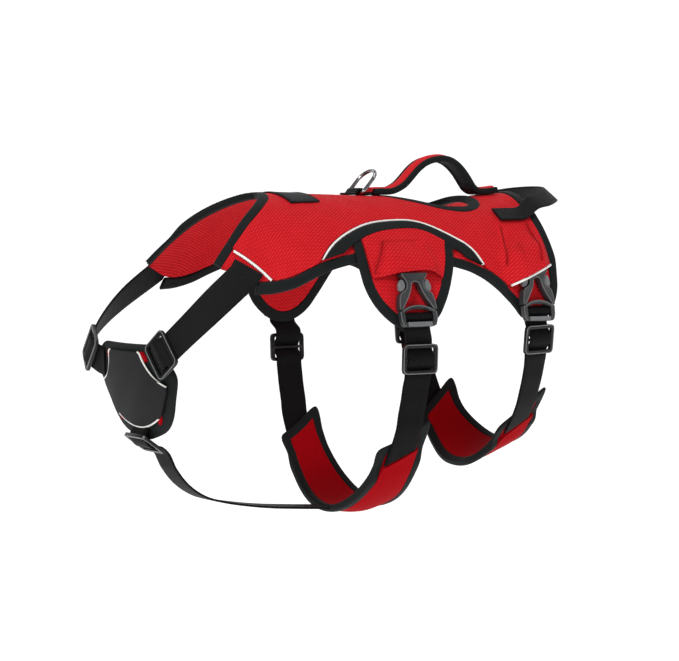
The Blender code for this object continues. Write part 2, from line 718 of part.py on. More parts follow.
def make_flaps(arch):
    """On each side: the flap, its binding, and the hood over its upper half."""
    top_line = offset(arch, -PIPING / 2 - 2 * GAP - ARCH_BINDING)
    left, foot, right = resample(FLAP_LEFT, 8), resample(FLAP_FOOT, 5), resample(FLAP_RIGHT[::-1], 8)
    u_line = left + foot[1:] + right[1:]
    u_lines = (u_line, offset(u_line, FLAP_BINDING), offset(u_line, FLAP_BINDING + 1.5 * GAP))
    u_line, u_tape, u_edge = (below(line, top_line, GAP) for line in u_lines)

    edge_left, edge_foot, edge_right = u_edge[:9], u_edge[8:14], u_edge[13:][::-1]
    panel_top = cut(cut(top_line, 0, edge_left[0][0])[1], 0, edge_right[0][0])[0]
    columns = len(panel_top) - 1
    flap_left, flap_right = [panel_top[0]] + edge_left[1:], [panel_top[-1]] + edge_right[1:]
    panel = patch(flap_left, flap_right, panel_top, refine(edge_foot, columns))

    hood_left = cut(flap_left, 1, HOOD_FOOT[0][1])[0]
    hood_right = cut(flap_right, 1, HOOD_FOOT[-1][1])[0]
    hood_foot = resample([hood_left[-1]] + HOOD_FOOT[1:-1] + [hood_right[-1]], columns)
    rows = max(len(hood_left), len(hood_right)) + 1
    hood = patch(refine(hood_left, rows), refine(hood_right, rows), panel_top, hood_foot)
    tape_low, tape_high = FLAP_LIFT - 0.2, FLAP_LIFT + FLAP_THICK + 0.6
    for side, turn in SIDES:
        panel_cells = [turn(cell) for cell in panel]
        wall("girth_flap_" + side, "red_cloth", panel_cells, FLAP_LIFT, FLAP_LIFT + FLAP_THICK)
        strip("binding_flap_" + side, "black_binding", turn(u_line), turn(u_tape), tape_low, tape_high)
        wall("flap_hood_" + side, "red_cloth", [turn(cell) for cell in hood], hood_low, hood_high)


def below(line, top_line, gap):
    """The line with its two ends moved down to just under the arch binding."""
    moved = [(y, max(s, height_at(top_line, y) + gap)) for y, s in (line[0], line[-1])]
    return [moved[0]] + line[1:-1] + [moved[1]]


def make_label():
    cells = patch(*(resample(line, steps) for line, steps in (
        ([(-85, -35), (-85, 35)], 8), ([(-57, -33), (-57, 33)], 8),
        ([(-85, -35), (-57, -33)], 3), ([(-85, 35), (-57, 33)], 3),
    )))
    lift = SHELL_LIFT + SHELL_THICK + 0.4
    wall("label_patch", "black_binding", cells, lift, lift + 0.9)


def ring_axis():
    return on_form(0, 0, RING_LIFT)


def make_ring():
    """The ring, its origin on its hinge axis, and the webbing tab that holds its bar."""
    axis = ring_axis()
    lean = math.radians(RING_REST_ANGLE)
    up = Vector((0, math.cos(lean), math.sin(lean)))
    foot = RING_HALF_WIDTH - RING_CORNER
    outline = [Vector((x, 0, 0)) for x in np.linspace(-foot, foot, 4)]
    for angle in (-60, -30, 0):
        turn = math.radians(angle)
        outline.append(Vector((foot + RING_CORNER * math.cos(turn), RING_CORNER * (1 + math.sin(turn)), 0)))
    rise = RING_HEIGHT - RING_HALF_WIDTH
    for angle in range(0, 181, 15):
        turn = math.radians(angle)
        outline.append(Vector((RING_HALF_WIDTH * math.cos(turn), rise + RING_HALF_WIDTH * math.sin(turn), 0)))
    for angle in (180, 210, 240):
        turn = math.radians(angle)
        outline.append(Vector((RING_CORNER * math.cos(turn) - foot, RING_CORNER * (1 + math.sin(turn)), 0)))
    curve = bpy.data.curves.new("lead_ring", "CURVE")
    curve.dimensions = "3D"
    curve.bevel_depth = RING_WIRE * MM
    curve.bevel_resolution = 2
    spline = curve.splines.new("POLY")
    spline.points.add(len(outline) - 1)
    for point, place in zip(spline.points, outline):
        world = (Vector((place.x, 0, 0)) + up * place.y) * MM
        point.co = (*world, 1)
    spline.use_cyclic_u = True
    curve.materials.append(materials["steel"])
    ring = bpy.data.objects.new("lead_ring", curve)
    ring.location = axis * MM
    harness.objects.link(ring)

    rest = SHELL_LIFT + SHELL_THICK + GAP + WEBBING_THICK / 2
    hump = RING_LIFT + RING_WIRE + 0.4 + WEBBING_THICK / 2
    path = [(-10, rest), (-5.2, rest), (-1.6, hump), (1.6, hump), (5.2, rest), (11, rest)]
    line = [(on_form(y, 0, lift), Vector((1, 0, 0))) for y, lift in path]
    ribbon("ring_tab", "black_webbing", line, RING_TAB_WIDTH, WEBBING_THICK)


def make_handle():
    """The handle: black underside, padded red top, and a bound edge on each side."""
    path = resample([(y, z) for y, z in HANDLE_PATH], 22)
    inner = HANDLE_WIDTH / 2 - HANDLE_EDGE - GAP

    def layer(name, finish, left, right, low, high):
        sections = []
        for k, (y, z) in enumerate(path):
            a, b = path[max(k - 1, 0)], path[min(k + 1, len(path) - 1)]
            out = Vector((0, -(b[1] - a[1]), b[0] - a[0])).normalized()
            base = Vector((0, y, z))
            sections.append([
                base + out * low + Vector((left, 0, 0)), base + out * low + Vector((right, 0, 0)),
                base + out * high + Vector((right, 0, 0)), base + out * high + Vector((left, 0, 0)),
            ])
        loft(name, finish, sections)

    layer("handle_under", "black_webbing", -inner, inner, 0.3, 0.3 + HANDLE_UNDER)
    layer("handle_top", "red_cloth", -inner, inner, 0.6 + HANDLE_UNDER, 0.6 + HANDLE_UNDER + HANDLE_TOP)
    edge_top = 0.6 + HANDLE_UNDER + HANDLE_TOP
    layer("handle_binding_L", "black_binding", inner + GAP, HANDLE_WIDTH / 2, 0.0, edge_top)
    layer("handle_binding_R", "black_binding", -HANDLE_WIDTH / 2, -inner - GAP, 0.0, edge_top)


def make_rear_loop():
    """A flat band, sewn down on each side behind the opening, that arches back clear of the form."""
    half = []
    for y in LOOP_SEWN:
        place, across, down, out = frame_on_form(y, LOOP_S, LOOP_LIFT)
        half.append((place, down))
    for k, row in enumerate(LOOP_FREE):
        before = LOOP_FREE[k - 1] if k else None
        after = LOOP_FREE[k + 1] if k + 1 < len(LOOP_FREE) else None
        start = Vector((before.x, before.y, 0)) if before else Vector((half[-1][0].x, half[-1][0].y, 0))
        end = Vector((after.x, after.y, 0)) if after else Vector((-before.x, before.y, 0))
        way = (end - start).normalized()
        outward = Vector((way.y, -way.x, 0))
        dip = math.radians(row.dip)
        half.append((Vector((row.x, row.y, row.z)), outward * math.cos(dip) - Vector((0, 0, math.sin(dip)))))
    far = [(Vector((-p.x, p.y, p.z)), Vector((-a.x, a.y, a.z))) for p, a in half[:-1]]
    ribbon("rear_loop", "black_webbing", half + far[::-1], LOOP_WIDTH, WEBBING_THICK)


def threaded(frame, thread, sign=1):
    """Points of webbing through a slider or plug that lies in this frame."""
    origin, across, down, out = frame
    return [(origin + down * along + out * height, across * sign) for along, height in thread]


def slider_mesh():
    half_w, half_l = SLIDER_WIDTH / 2, SLIDER_LENGTH / 2
    slot_w, slot_l = WEBBING / 2 + 0.7, half_l - SLIDER_BAR

    def frame_of(w, l, radius):
        return rounded([(-w, -l), (w, -l), (w, l), (-w, l)], radius)

    flat = plate("slider", [frame_of(half_w, half_l, 4), frame_of(slot_w, slot_l, 1.5)], 2.0, 4.6)
    return with_bar("slider", flat, 0, 3.0, 1.3, slot_w + 1.5)


def place_slider(name, mesh, frame):
    obj = new_object(name, mesh.copy(), "black_plastic")
    obj.matrix_world = place_of(frame)


def buckle_meshes():
    """The socket, an A shape with its legs round the plug, and the plug with its strap bar."""
    half = [
        (11.5, -21.5), (12.6, -19), (13.0, -14.3), (14.6, -8.5), (16.4, -2), (17.6, 4.6), (17.8, 8.0),
        (14.6, 8.0), (11.8, 3.9), (8.0, -1.5), (4.6, -7.6), (2.6, -12.0),
    ]
    outline = half + [(-u, v) for u, v in reversed(half)]
    socket = plate("socket", [outline], 0.0, BUCKLE_THICK)
    top = [(-15.5, 8.6), (-10.5, 6.0), (-5, 4.6), (0, 4.2), (5, 4.6), (10.5, 6.0), (15.5, 8.6)]
    right = [(17.6, 9.0), (17.2, 16.2), (15.5, 20.6), (13.5, 21.5)]
    plug_outline = top + right + [(-u, v) for u, v in reversed(right)]
    slot = WEBBING / 2 + 0.6
    window = [(-slot, 9.8), (-6, 7.6), (6, 7.6), (slot, 9.8), (slot, 18.3), (-slot, 18.3)]
    plug = plate("plug", [plug_outline, window], 1.2, 5.0)
    return socket, with_bar("plug", plug, 13.2, 1.9, 1.0, slot + 1.5)


def make_girths():
    """Buckles, sliders and webbing of both girths, on both sides."""
    socket, plug = buckle_meshes()
    slider = slider_mesh()
    for row, pad in zip(GIRTHS, PADS):
        for side, turn in SIDES:
            sign = 1 if side == "L" else -1
            buckle = frame_on_form(row.buckle_y, sign * row.buckle_s, row.buckle_lift)
            for name, mesh in (("socket", socket), ("plug", plug)):
                obj = new_object(f"buckle_{name}_{row.name}_{side}", mesh.copy(), "grey_plastic")
                obj.matrix_world = place_of(buckle)
            seat = frame_on_form(row.slider_y, sign * row.slider_s, row.slider_lift)
            place_slider(f"girth_slider_{row.name}_{side}", slider, seat)
            from_plug, through = threaded(buckle, PLUG_THREAD, sign), threaded(seat, SLIDER_THREAD, sign)
            if row.slider_s - row.buckle_s < ROOM_BETWEEN:
                from_plug, through = from_plug[:-1], through[1:]
            path = from_plug + through + strap_to_pad(row, pad, sign)
            name = f"girth_strap_{row.name}_{side}"
            ribbon(name, "black_webbing", path, WEBBING, WEBBING_THICK, end_skew=pad.slant)


def strap_to_pad(row, pad, sign):
    """The webbing from the slider down to the mouth of the belly pad."""
    half_girth = section_arc(float(pad.centre))[1][-1]
    mouth = half_girth - (pad.mouth + (row.pad_y - pad.centre) * pad.slant)
    lip = mouth - PAD_LIP - PAD_BINDING - pad.slant * WEBBING / 2 - 3
    start = row.slider_s + SLIDER_THREAD[-1][0] + 6
    count = max(2, round((lip - start) / 9))
    stops = []
    for s in list(np.linspace(start, lip, count)) + list(np.linspace(lip, mouth - 2.4, 5))[1:]:
        t = (s - row.slider_s) / (mouth - row.slider_s)
        y = row.slider_y + (row.pad_y - row.slider_y) * t
        on_lip = PAD_LIP_THICK + 1.0
        lift = row.slider_lift + (on_lip - row.slider_lift) * smooth_step(s, lip - 14, lip)
        place, across, down, out = frame_on_form(y, sign * s, lift + WEBBING_THICK / 2)
        stops.append((place, across * sign))
    return stops


def make_belly_pads():
    """Padded sleeves under the belly: thin lips, thick middles, with one ring of binding each."""
    for row in PADS:
        def half_width(t):
            return row.half_middle + (row.half_mouth - row.half_middle) * smooth_step(abs(t), 15, row.mouth)

        def mouth(y):
            return row.mouth + (y - row.centre) * row.slant

        columns = np.linspace(-1, 1, 6)
        half_marks = [0.1, 0.3, 0.5, 0.7, 0.86, 1.0, 1.006, 1.12]
        marks = [-m for m in half_marks[::-1]] + half_marks

        def point(u, m, grow=0.0):
            y = row.centre + u * (half_width(m * row.mouth) - PAD_BINDING - GAP)
            t = m * mouth(y)
            if abs(m) > 1.01:
                t = math.copysign(mouth(y) + PAD_LIP, m)
            return (y, t)

        cells = []
        for a, b in zip(columns, columns[1:]):
            for m, n in zip(marks, marks[1:]):
                cells.append((point(a, m), point(b, m), point(b, n), point(a, n)))

        def top(y, t):
            return PAD_LIP_THICK if abs(t) > mouth(y) + 0.2 else PAD_THICK

        wall("belly_pad_" + row.name, "red_cloth", cells, 0.0, top, place=under_form)
        loop = [point(-1, m) for m in marks] + [point(u, 1.12) for u in columns[1:]]
        loop += [point(1, m) for m in marks[::-1][1:]] + [point(u, -1.12) for u in columns[::-1][1:-1]]
        inner, outer = offset(loop, -GAP, closed=True), offset(loop, -GAP - PAD_BINDING, closed=True)

        def binding_top(y, t):
            return PAD_LIP_THICK + 0.4 if abs(t) > mouth(y) - 1.5 else PAD_THICK + 0.5

        name = "belly_binding_" + row.name
        strip(name, "black_binding", outer, inner, -0.3, binding_top, closed=True, place=under_form)


def chest_place(x, t, lift):
    """A point of the chest pad: x across, t down from its top, lift out towards the front."""
    return CHEST_TOP + Vector((x, 0, 0)) + CHEST_DOWN * t + CHEST_OUT * (lift - CHEST_BEND * x * x)


def shield(outline, rows, cols):
    """Quads over a shape that is symmetric about x = 0, from rows at even heights."""
    line = resample(outline, 40)
    top, bottom = line[0][1], line[-1][1]
    heights = np.linspace(top, bottom, rows + 1)

    def half_width(t):
        crossings = [0.0]
        for a, b in zip(line, line[1:]):
            if (a[1] - t) * (b[1] - t) <= 0 and a[1] != b[1]:
                crossings.append(a[0] + (b[0] - a[0]) * (t - a[1]) / (b[1] - a[1]))
        return max(crossings)

    inset_t = 0.6
    stops = [min(max(t, top + inset_t), bottom - inset_t) for t in heights]
    grid = [[(half_width(t) * u, t) for u in np.linspace(-1, 1, cols + 1)] for t in stops]
    return [
        (grid[i][j], grid[i][j + 1], grid[i + 1][j + 1], grid[i + 1][j])
        for i in range(rows) for j in range(cols)
    ]


def make_chest():
    """Chest pad, its cover, the shoulder webbing with its sliders, and the sternum webbing."""
    cells = shield(CHEST_BASE, 12, 12)
    wall("chest_base", "charcoal_cloth", cells, 0.0, CHEST_BASE_THICK, place=chest_place)
    cells, low = shield(CHEST_COVER, 14, 12), CHEST_COVER_LIFT
    wall("chest_cover", "charcoal_cloth", cells, low, low + CHEST_COVER_THICK, place=chest_place)
    slider = slider_mesh()
    for side, turn in SIDES:
        sign = 1 if side == "L" else -1
        flip = Matrix.Diagonal((sign, 1, 1))
        row = SHOULDER_SLIDER
        out = flip @ Vector(row[3:]).normalized()
        down = -(flip @ SHOULDER_SLIDER_UP)
        down = (down - out * down.dot(out)).normalized()
        seat = (flip @ Vector(row[:3]), down.cross(out), down, out)
        place_slider("shoulder_slider_" + side, slider, seat)
        path = []
        for y, s in SHOULDER_SEWN:
            place, across, slope, normal = frame_on_form(y, sign * s, BASE_THICK + 0.9 + WEBBING_THICK / 2)
            path.append((place, normal))
        path += [(flip @ Vector(free[:3]), flip @ Vector(free[3:])) for free in SHOULDER_FREE]
        path.append((seat[0] + down * SLIDER_THREAD[0][0], out))
        turned = []
        for before, (place, normal), after in zip([path[0]] + path, path, path[1:]):
            way = (after[0] - before[0]).normalized()
            turned.append((place, way.cross(normal).normalized() * sign))
        turned += threaded(seat, SLIDER_THREAD[:-1], sign)
        x, t = MOUTH_MIDDLE
        mouth = chest_place(sign * x, t, CHEST_BASE_THICK + 0.9 + WEBBING_THICK / 2)
        pad_out = CHEST_OUT + Vector((sign * 2 * CHEST_BEND * x, 0, 0))
        way = (mouth - turned[-1][0]).normalized()
        for share in (0.55, 1.0):
            side_way = way.cross(out.lerp(pad_out, share)).normalized() * sign
            turned.append((turned[-1][0].lerp(mouth, share), side_way))
        ribbon("shoulder_strap_" + side, "black_webbing", turned, WEBBING, WEBBING_THICK)
    make_sternum(slider)


def make_sternum(slider):
    """The slider under the chest pad and the webbing from it to the front belly pad."""
    across = Vector((1, 0, 0))
    out = STERNUM_DOWN.cross(across).normalized()
    seat = (STERNUM_SLIDER, across, STERNUM_DOWN.normalized(), out)
    place_slider("sternum_slider", slider, seat)
    start = chest_place(0, CHEST_COVER[-1][1] + 0.9, CHEST_BASE_THICK + 0.4 + WEBBING_THICK / 2)
    path = [(start, across)] + threaded(seat, SLIDER_THREAD[1:])
    path += [(Vector((0, y, z)), across) for y, z in STERNUM_PATH]
    ribbon("sternum_strap", "black_webbing", path, WEBBING, WEBBING_THICK)


def turn_none(points):
    return list(points)


SIDES = (("L", turn_none), ("R", mirrored))


def clear_scene():
    for obj in list(bpy.data.objects):
        bpy.data.objects.remove(obj)


def new_collection(name):
    collection = bpy.data.collections.new(name)
    bpy.context.scene.collection.children.link(collection)
    return collection


def make_materials():
    made = {}
    for name, finish in FINISHES.items():
        material = bpy.data.materials.new(name)
        material.use_nodes = True
        shader = material.node_tree.nodes["Principled BSDF"]
        shader.inputs["Base Color"].default_value = (*finish.colour, 1)
        shader.inputs["Roughness"].default_value = finish.roughness
        shader.inputs["Metallic"].default_value = finish.metallic
        made[name] = material
    return made


clear_scene()
harness = new_collection("dog_harness")
cutters = new_collection("cutters")
materials = make_materials()
make_flaps(make_saddle())
make_label()
make_ring()
make_handle()
make_rear_loop()
make_girths()
make_belly_pads()
make_chest()
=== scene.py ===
"""Dog harness, dressed over its solids: woven cloth, webbing, binding, pads, buckles and ring.

The cloth panels are laid out on the plain barrel form that the harness is cut for, in two
coordinates: y along the spine and s round the section from the spine, in millimetres. Their
folds and padding are heights above that form. Strips and webbing are swept along the edges
of their solids. Everything ends up in metres, in the solids' own frame.
"""

import logging
import math
from dataclasses import dataclass, field
from enum import Enum
from functools import partial
from itertools import permutations
from typing import Callable, Iterable, Sequence

import bmesh
import bpy
import numpy as np
from mathutils import Matrix, Vector


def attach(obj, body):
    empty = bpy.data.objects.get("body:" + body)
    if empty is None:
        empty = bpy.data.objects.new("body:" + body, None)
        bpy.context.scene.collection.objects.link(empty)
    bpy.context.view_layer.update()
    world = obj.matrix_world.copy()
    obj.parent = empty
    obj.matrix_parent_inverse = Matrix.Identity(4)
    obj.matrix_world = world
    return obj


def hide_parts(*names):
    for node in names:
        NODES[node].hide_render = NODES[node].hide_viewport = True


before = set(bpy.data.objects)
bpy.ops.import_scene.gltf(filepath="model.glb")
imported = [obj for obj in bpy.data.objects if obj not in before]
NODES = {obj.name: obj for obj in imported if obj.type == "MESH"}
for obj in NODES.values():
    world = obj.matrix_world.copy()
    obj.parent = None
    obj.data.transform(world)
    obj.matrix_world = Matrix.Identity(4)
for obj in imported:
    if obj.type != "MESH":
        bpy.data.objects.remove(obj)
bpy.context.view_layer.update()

LOG = logging.getLogger("harness")
MM = 0.001
HARNESS, RING = "harness", "lead_ring"
SIDES = (("L", 1.0), ("R", -1.0))
ROWS = ("front", "rear")
FULL_TURN = 2 * math.pi
PHOTO_WIDTH, PHOTO_HEIGHT = 679, 661
SENSOR_WIDTH = 36.0

Array = np.ndarray
Shape = bmesh.types.BMesh
Piece = bpy.types.Object
Material = bpy.types.Material
Socket = bpy.types.NodeSocket
Colour = tuple[float, float, float]
Outline = Sequence[tuple[float, float]]
Relief = Callable[[Array, Array, Array], Array]


# ---- The form under the cloth ----

@dataclass
class Form:
    """The plain barrel form: rows of y, top, middle, bottom and half width, in millimetres."""

    rows: Sequence[tuple[float, ...]] = (
        (-175, -27, -124.5, -222, 70), (-120, -1.5, -122, -240, 84), (-60, 1, -126, -247, 92),
        (0, 0, -129.5, -250, 95), (60, -1, -122.5, -237, 93), (120, 0, -109, -213, 86),
        (180, 6, -93, -193, 78), (230, 9, -84.5, -179, 74),
    )
    fullness: float = 0.10
    step_y: float = 1.0
    step_s: float = 0.5

    ROUNDS = 12
    NUDGE = 0.01

    def __post_init__(self) -> None:
        """Works out the slopes between rows and the tables of arc lengths."""
        table = np.array(self.rows, float)
        self.ys, self.sizes = table[:, 0], table[:, 1:]
        last = len(self.ys) - 1
        low = np.maximum(np.arange(last + 1) - 1, 0)
        high = np.minimum(np.arange(last + 1) + 1, last)
        self.slopes = (self.sizes[high] - self.sizes[low]) / (self.ys[high] - self.ys[low])[:, None]
        self.grid_y = np.arange(-180.0, 236.0, self.step_y)
        self.angles = np.linspace(0, math.pi, 181)
        y, a = np.meshgrid(self.grid_y, self.angles, indexing="ij")
        ring = self.point(y.ravel(), a.ravel()).reshape(len(self.grid_y), -1, 3)
        way = np.linalg.norm(np.diff(ring[:, :, [0, 2]], axis=1), axis=2)
        self.arcs = np.concatenate([np.zeros((len(ring), 1)), np.cumsum(way, axis=1)], axis=1)
        self.grid_s = np.arange(0.0, 430.0, self.step_s)
        self.turns = np.array([np.interp(self.grid_s, arc, self.angles) for arc in self.arcs])

    def row(self, y: Array) -> Array:
        """Top, middle, bottom and half width at each y, on a smooth curve.

        Args:
            y: Places along the spine, in millimetres.

        Returns:
            One row for each y.
        """
        y = np.clip(y, self.ys[0], self.ys[-1])
        i = np.clip(np.searchsorted(self.ys, y) - 1, 0, len(self.ys) - 2)
        span = (self.ys[i + 1] - self.ys[i])[:, None]
        t = (y - self.ys[i])[:, None] / span
        return (
            (2 * t**3 - 3 * t**2 + 1) * self.sizes[i] + (t**3 - 2 * t**2 + t) * span * self.slopes[i]
            + (3 * t**2 - 2 * t**3) * self.sizes[i + 1] + (t**3 - t**2) * span * self.slopes[i + 1]
        )

    def point(self, y: Array, angle: Array) -> Array:
        """Points of the form: angle 0 is the spine and pi the belly.

        Args:
            y: Places along the spine, in millimetres.
            angle: Angles round the section.

        Returns:
            The points, one row each.
        """
        top, middle, bottom, half = self.row(y).T
        turn = np.cos(angle)
        x = half * np.sin(angle) * (1 + self.fullness * turn)
        z = middle + turn * np.where(turn > 0, top - middle, middle - bottom)
        return np.stack([x, y, z], axis=1)

    def _look_up(self, table: Array, y: Array, column: Array) -> Array:
        """Reads a table between its rows and columns.

        Args:
            table: Values by rows of y and by columns.
            y: Places along the spine, in millimetres.
            column: Places between the columns.

        Returns:
            The values.
        """
        i = np.clip((y - self.grid_y[0]) / self.step_y, 0, len(self.grid_y) - 1.001)
        j = np.clip(column, 0, table.shape[1] - 1.001)
        i0, j0 = i.astype(int), j.astype(int)
        p, q = i - i0, j - j0
        return (
            (1 - p) * ((1 - q) * table[i0, j0] + q * table[i0, j0 + 1])
            + p * ((1 - q) * table[i0 + 1, j0] + q * table[i0 + 1, j0 + 1])
        )

    def angle(self, y: Array, s: Array) -> Array:
        """The angle round the section at the arc length s from the spine."""
        return np.copysign(self._look_up(self.turns, y, np.abs(s) / self.step_s), s)

    def arc(self, y: Array, angle: Array) -> Array:
        """The arc length from the spine at an angle."""
        column = np.abs(angle) / (self.angles[1] - self.angles[0])
        return np.copysign(self._look_up(self.arcs, y, column), angle)

    def half_girth(self, y: Array) -> Array:
        """The arc length from the spine to the belly's middle line."""
        return self._look_up(self.arcs, y, np.full_like(y, self.arcs.shape[1]))

    def axes(self, y: Array, angle: Array) -> tuple[Array, Array, Array]:
        """Ways round, along and out of the form at each point; only the last has length 1.

        Args:
            y: Places along the spine, in millimetres.
            angle: Angles round the section.

        Returns:
            The three sets of directions.
        """
        round_way = (self.point(y, angle + self.NUDGE) - self.point(y, angle - self.NUDGE)) / (2 * self.NUDGE)
        along = (self.point(y + 1, angle) - self.point(y - 1, angle)) / 2
        out = np.cross(round_way, along)
        return round_way, along, out / np.linalg.norm(out, axis=1)[:, None]

    def place(self, flat: Array, under: bool = False) -> Array:
        """Points in space from (y, s, lift), or from (y, t, lift) with t from the belly's middle line.

        Args:
            flat: One row for each point.
            under: Whether the second column is t.

        Returns:
            The points, in millimetres.
        """
        y, s, lift = flat.T
        if under:
            s = np.copysign(self.half_girth(y) - np.abs(s), s)
        angle = self.angle(y, s)
        return self.point(y, angle) + self.axes(y, angle)[2] * lift[:, None]

    def locate(self, points: Array, under: bool = False) -> Array:
        """The (y, s, lift) of points in space, or their (y, t, lift).

        Args:
            points: One row for each point, in millimetres.
            under: Whether to measure t from the belly's middle line.

        Returns:
            One row for each point.
        """
        y = points[:, 1].copy()
        top, middle, bottom, half = self.row(y).T
        rise = points[:, 2] - middle
        tall = np.where(rise > 0, top - middle, middle - bottom)
        angle = np.arctan2(points[:, 0] / half, rise / tall)
        for _ in range(self.ROUNDS):
            round_way, along, out = self.axes(y, angle)
            rest = points - self.point(y, angle)
            aa, ab, bb = (np.sum(p * q, axis=1) for p, q in (
                (round_way, round_way), (round_way, along), (along, along)))
            ra, rb = np.sum(rest * round_way, axis=1), np.sum(rest * along, axis=1)
            det = aa * bb - ab * ab
            angle = angle + (ra * bb - rb * ab) / det
            y = y + (rb * aa - ra * ab) / det
        out = self.axes(y, angle)[2]
        lift = np.sum((points - self.point(y, angle)) * out, axis=1)
        s = self.arc(y, angle)
        if under:
            s = np.copysign(self.half_girth(y) - np.abs(s), s)
        return np.stack([y, s, lift], axis=1)


FORM = Form()


def smooth_step(value: Array, start: float, end: float) -> Array:
    """A smooth rise from 0 at start to 1 at end."""
    t = np.clip((value - start) / (end - start), 0, 1)
    return t * t * (3 - 2 * t)


def ridge(y: Array, s: Array, a: tuple[float, float], b: tuple[float, float],
          width: float, sharp: float = 2.0) -> Array:
    """A fold's height, 1 along the line from a to b and fading with distance and past its ends.

    Args:
        y: Places along the spine, in millimetres.
        s: Arc lengths from the spine.
        a: The (y, s) where the fold starts.
        b: The (y, s) where it ends.
        width: Half its breadth.
        sharp: 1 for a sharp crest, 2 for a round one.

    Returns:
        The height at each point.
    """
    way = np.array(b, float) - np.array(a, float)
    length = float(np.hypot(*way))
    way /= length
    along = (y - a[0]) * way[0] + (s - a[1]) * way[1]
    off = np.abs(-(y - a[0]) * way[1] + (s - a[1]) * way[0])
    ends = smooth_step(along, -width, width) * (1 - smooth_step(along, length - width, length + width))
    return np.exp(-(off / width) ** sharp) * ends


# ---- Meshes ----

SHARP, HARD_SMOOTH = 50, 35
SOFT_LEVELS = 2
STEP, INSET = 2.5, 1.3


def weld(node: str) -> Shape:
    """A merged copy of a node's triangles, in millimetres.

    Args:
        node: The node's name.

    Returns:
        The merged shape.
    """
    shape = bmesh.new()
    shape.from_mesh(NODES[node].data)
    bmesh.ops.scale(shape, verts=shape.verts, vec=(1 / MM,) * 3)
    bmesh.ops.remove_doubles(shape, verts=shape.verts, dist=0.01)
    bmesh.ops.dissolve_degenerate(shape, edges=shape.edges, dist=0.005)
    shape.verts.ensure_lookup_table()
    return shape


def add_piece(name: str, mesh: bpy.types.Mesh, smooth: float | None = 40.0) -> Piece:
    """A new object at the origin, shaded smooth up to an angle in degrees.

    Args:
        name: The object's name.
        mesh: Its mesh.
        smooth: The angle, or None to leave the shading.

    Returns:
        The new object.
    """
    obj = bpy.data.objects.new(name, mesh)
    bpy.context.scene.collection.objects.link(obj)
    if smooth is not None:
        mesh.shade_smooth()
        mesh.set_sharp_from_angle(angle=math.radians(smooth))
    return obj


def from_shape(name: str, shape: Shape, smooth: float | None = 40.0) -> Piece:
    """A new object from a shape, which is freed.

    Args:
        name: The object's name.
        shape: The shape.
        smooth: The angle in degrees up to which it is shaded smooth, or None.

    Returns:
        The new object.
    """
    mesh = bpy.data.meshes.new(name)
    shape.to_mesh(mesh)
    shape.free()
    return add_piece(name, mesh, smooth)


def dress(obj: Piece, material: Material) -> Piece:
    """Gives a piece its one material.

    Args:
        obj: The piece.
        material: Its material.

    Returns:
        The same piece.
    """
    obj.data.materials.clear()
    obj.data.materials.append(material)
    return obj


def settle(obj: Piece) -> Piece:
    """Applies the object's modifiers for good.

    Args:
        obj: The piece.

    Returns:
        The same piece.
    """
    made = bpy.data.meshes.new_from_object(obj.evaluated_get(bpy.context.evaluated_depsgraph_get()))
    obj.modifiers.clear()
    obj.data = made
    return obj


def subdivide(obj: Piece, levels: int) -> Piece:
    """Softens a piece by subdivision, applied for good.

    Args:
        obj: The piece.
        levels: How many times each face is divided.

    Returns:
        The same piece.
    """
    soft = obj.modifiers.new("soften", "SUBSURF")
    soft.levels = soft.render_levels = levels
    return settle(obj)


def finish_piece(obj: Piece, nodes: Iterable[str] = (), body: str = HARNESS) -> None:
    """Puts a piece on its body and lets it stand for its nodes.

    Args:
        obj: The piece.
        nodes: The nodes that it replaces.
        body: The body that it rides on.
    """
    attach(obj, body)
    nodes = list(nodes)
    if nodes:
        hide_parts(*nodes)
    LOG.info("%s: %d faces", obj.name, len(obj.data.polygons))


def sharp_edges(shape: Shape, angle: float) -> list[bmesh.types.BMEdge]:
    """The edges where two faces meet at more than an angle in degrees."""
    limit = math.radians(angle)
    return [e for e in shape.edges if len(e.link_faces) == 2 and e.calc_face_angle(0.0) > limit]


def round_edges(shape: Shape, angle: float, offset: float, segments: int = 2) -> None:
    """Rounds the edges where two faces meet at more than an angle.

    Args:
        shape: The shape.
        angle: The angle, in degrees.
        offset: How much is rounded.
        segments: The number of steps.
    """
    bmesh.ops.bevel(
        shape, geom=sharp_edges(shape, angle), offset=offset, segments=segments, profile=0.5,
        affect="EDGES", clamp_overlap=True,
    )


def bridge(shape: Shape, rings: Sequence[Sequence[bmesh.types.BMVert]],
           closed: bool = False) -> list[tuple[int, int, bmesh.types.BMFace]]:
    """Joins rings of points into a tube with capped ends, or into a closed ring.

    Args:
        shape: The shape that the points are in.
        rings: The rings in order.
        closed: Whether the last ring joins the first.

    Returns:
        For every face its ring's number, its side's number, or -1 on a cap, and the face.
    """
    size, count, made = len(rings[0]), len(rings), []
    for k in range(count if closed else count - 1):
        here, after = rings[k], rings[(k + 1) % count]
        for i in range(size):
            j = (i + 1) % size
            made.append((k, i, shape.faces.new((here[i], here[j], after[j], after[i]))))
    if not closed:
        made.append((0, -1, shape.faces.new(rings[0][::-1])))
        made.append((count - 1, -1, shape.faces.new(rings[-1])))
    return made


def arc_points(middle: tuple[float, float], radius: float, start: float, end: float, count: int) -> Outline:
    """Points on an arc, from one angle in radians to another."""
    return [(middle[0] + radius * math.cos(a), middle[1] + radius * math.sin(a))
            for a in np.linspace(start, end, count)]


def run_lengths(line: Array) -> Array:
    """The length along a line at each of its points."""
    return np.concatenate([[0], np.cumsum(np.linalg.norm(np.diff(line, axis=0), axis=1))])


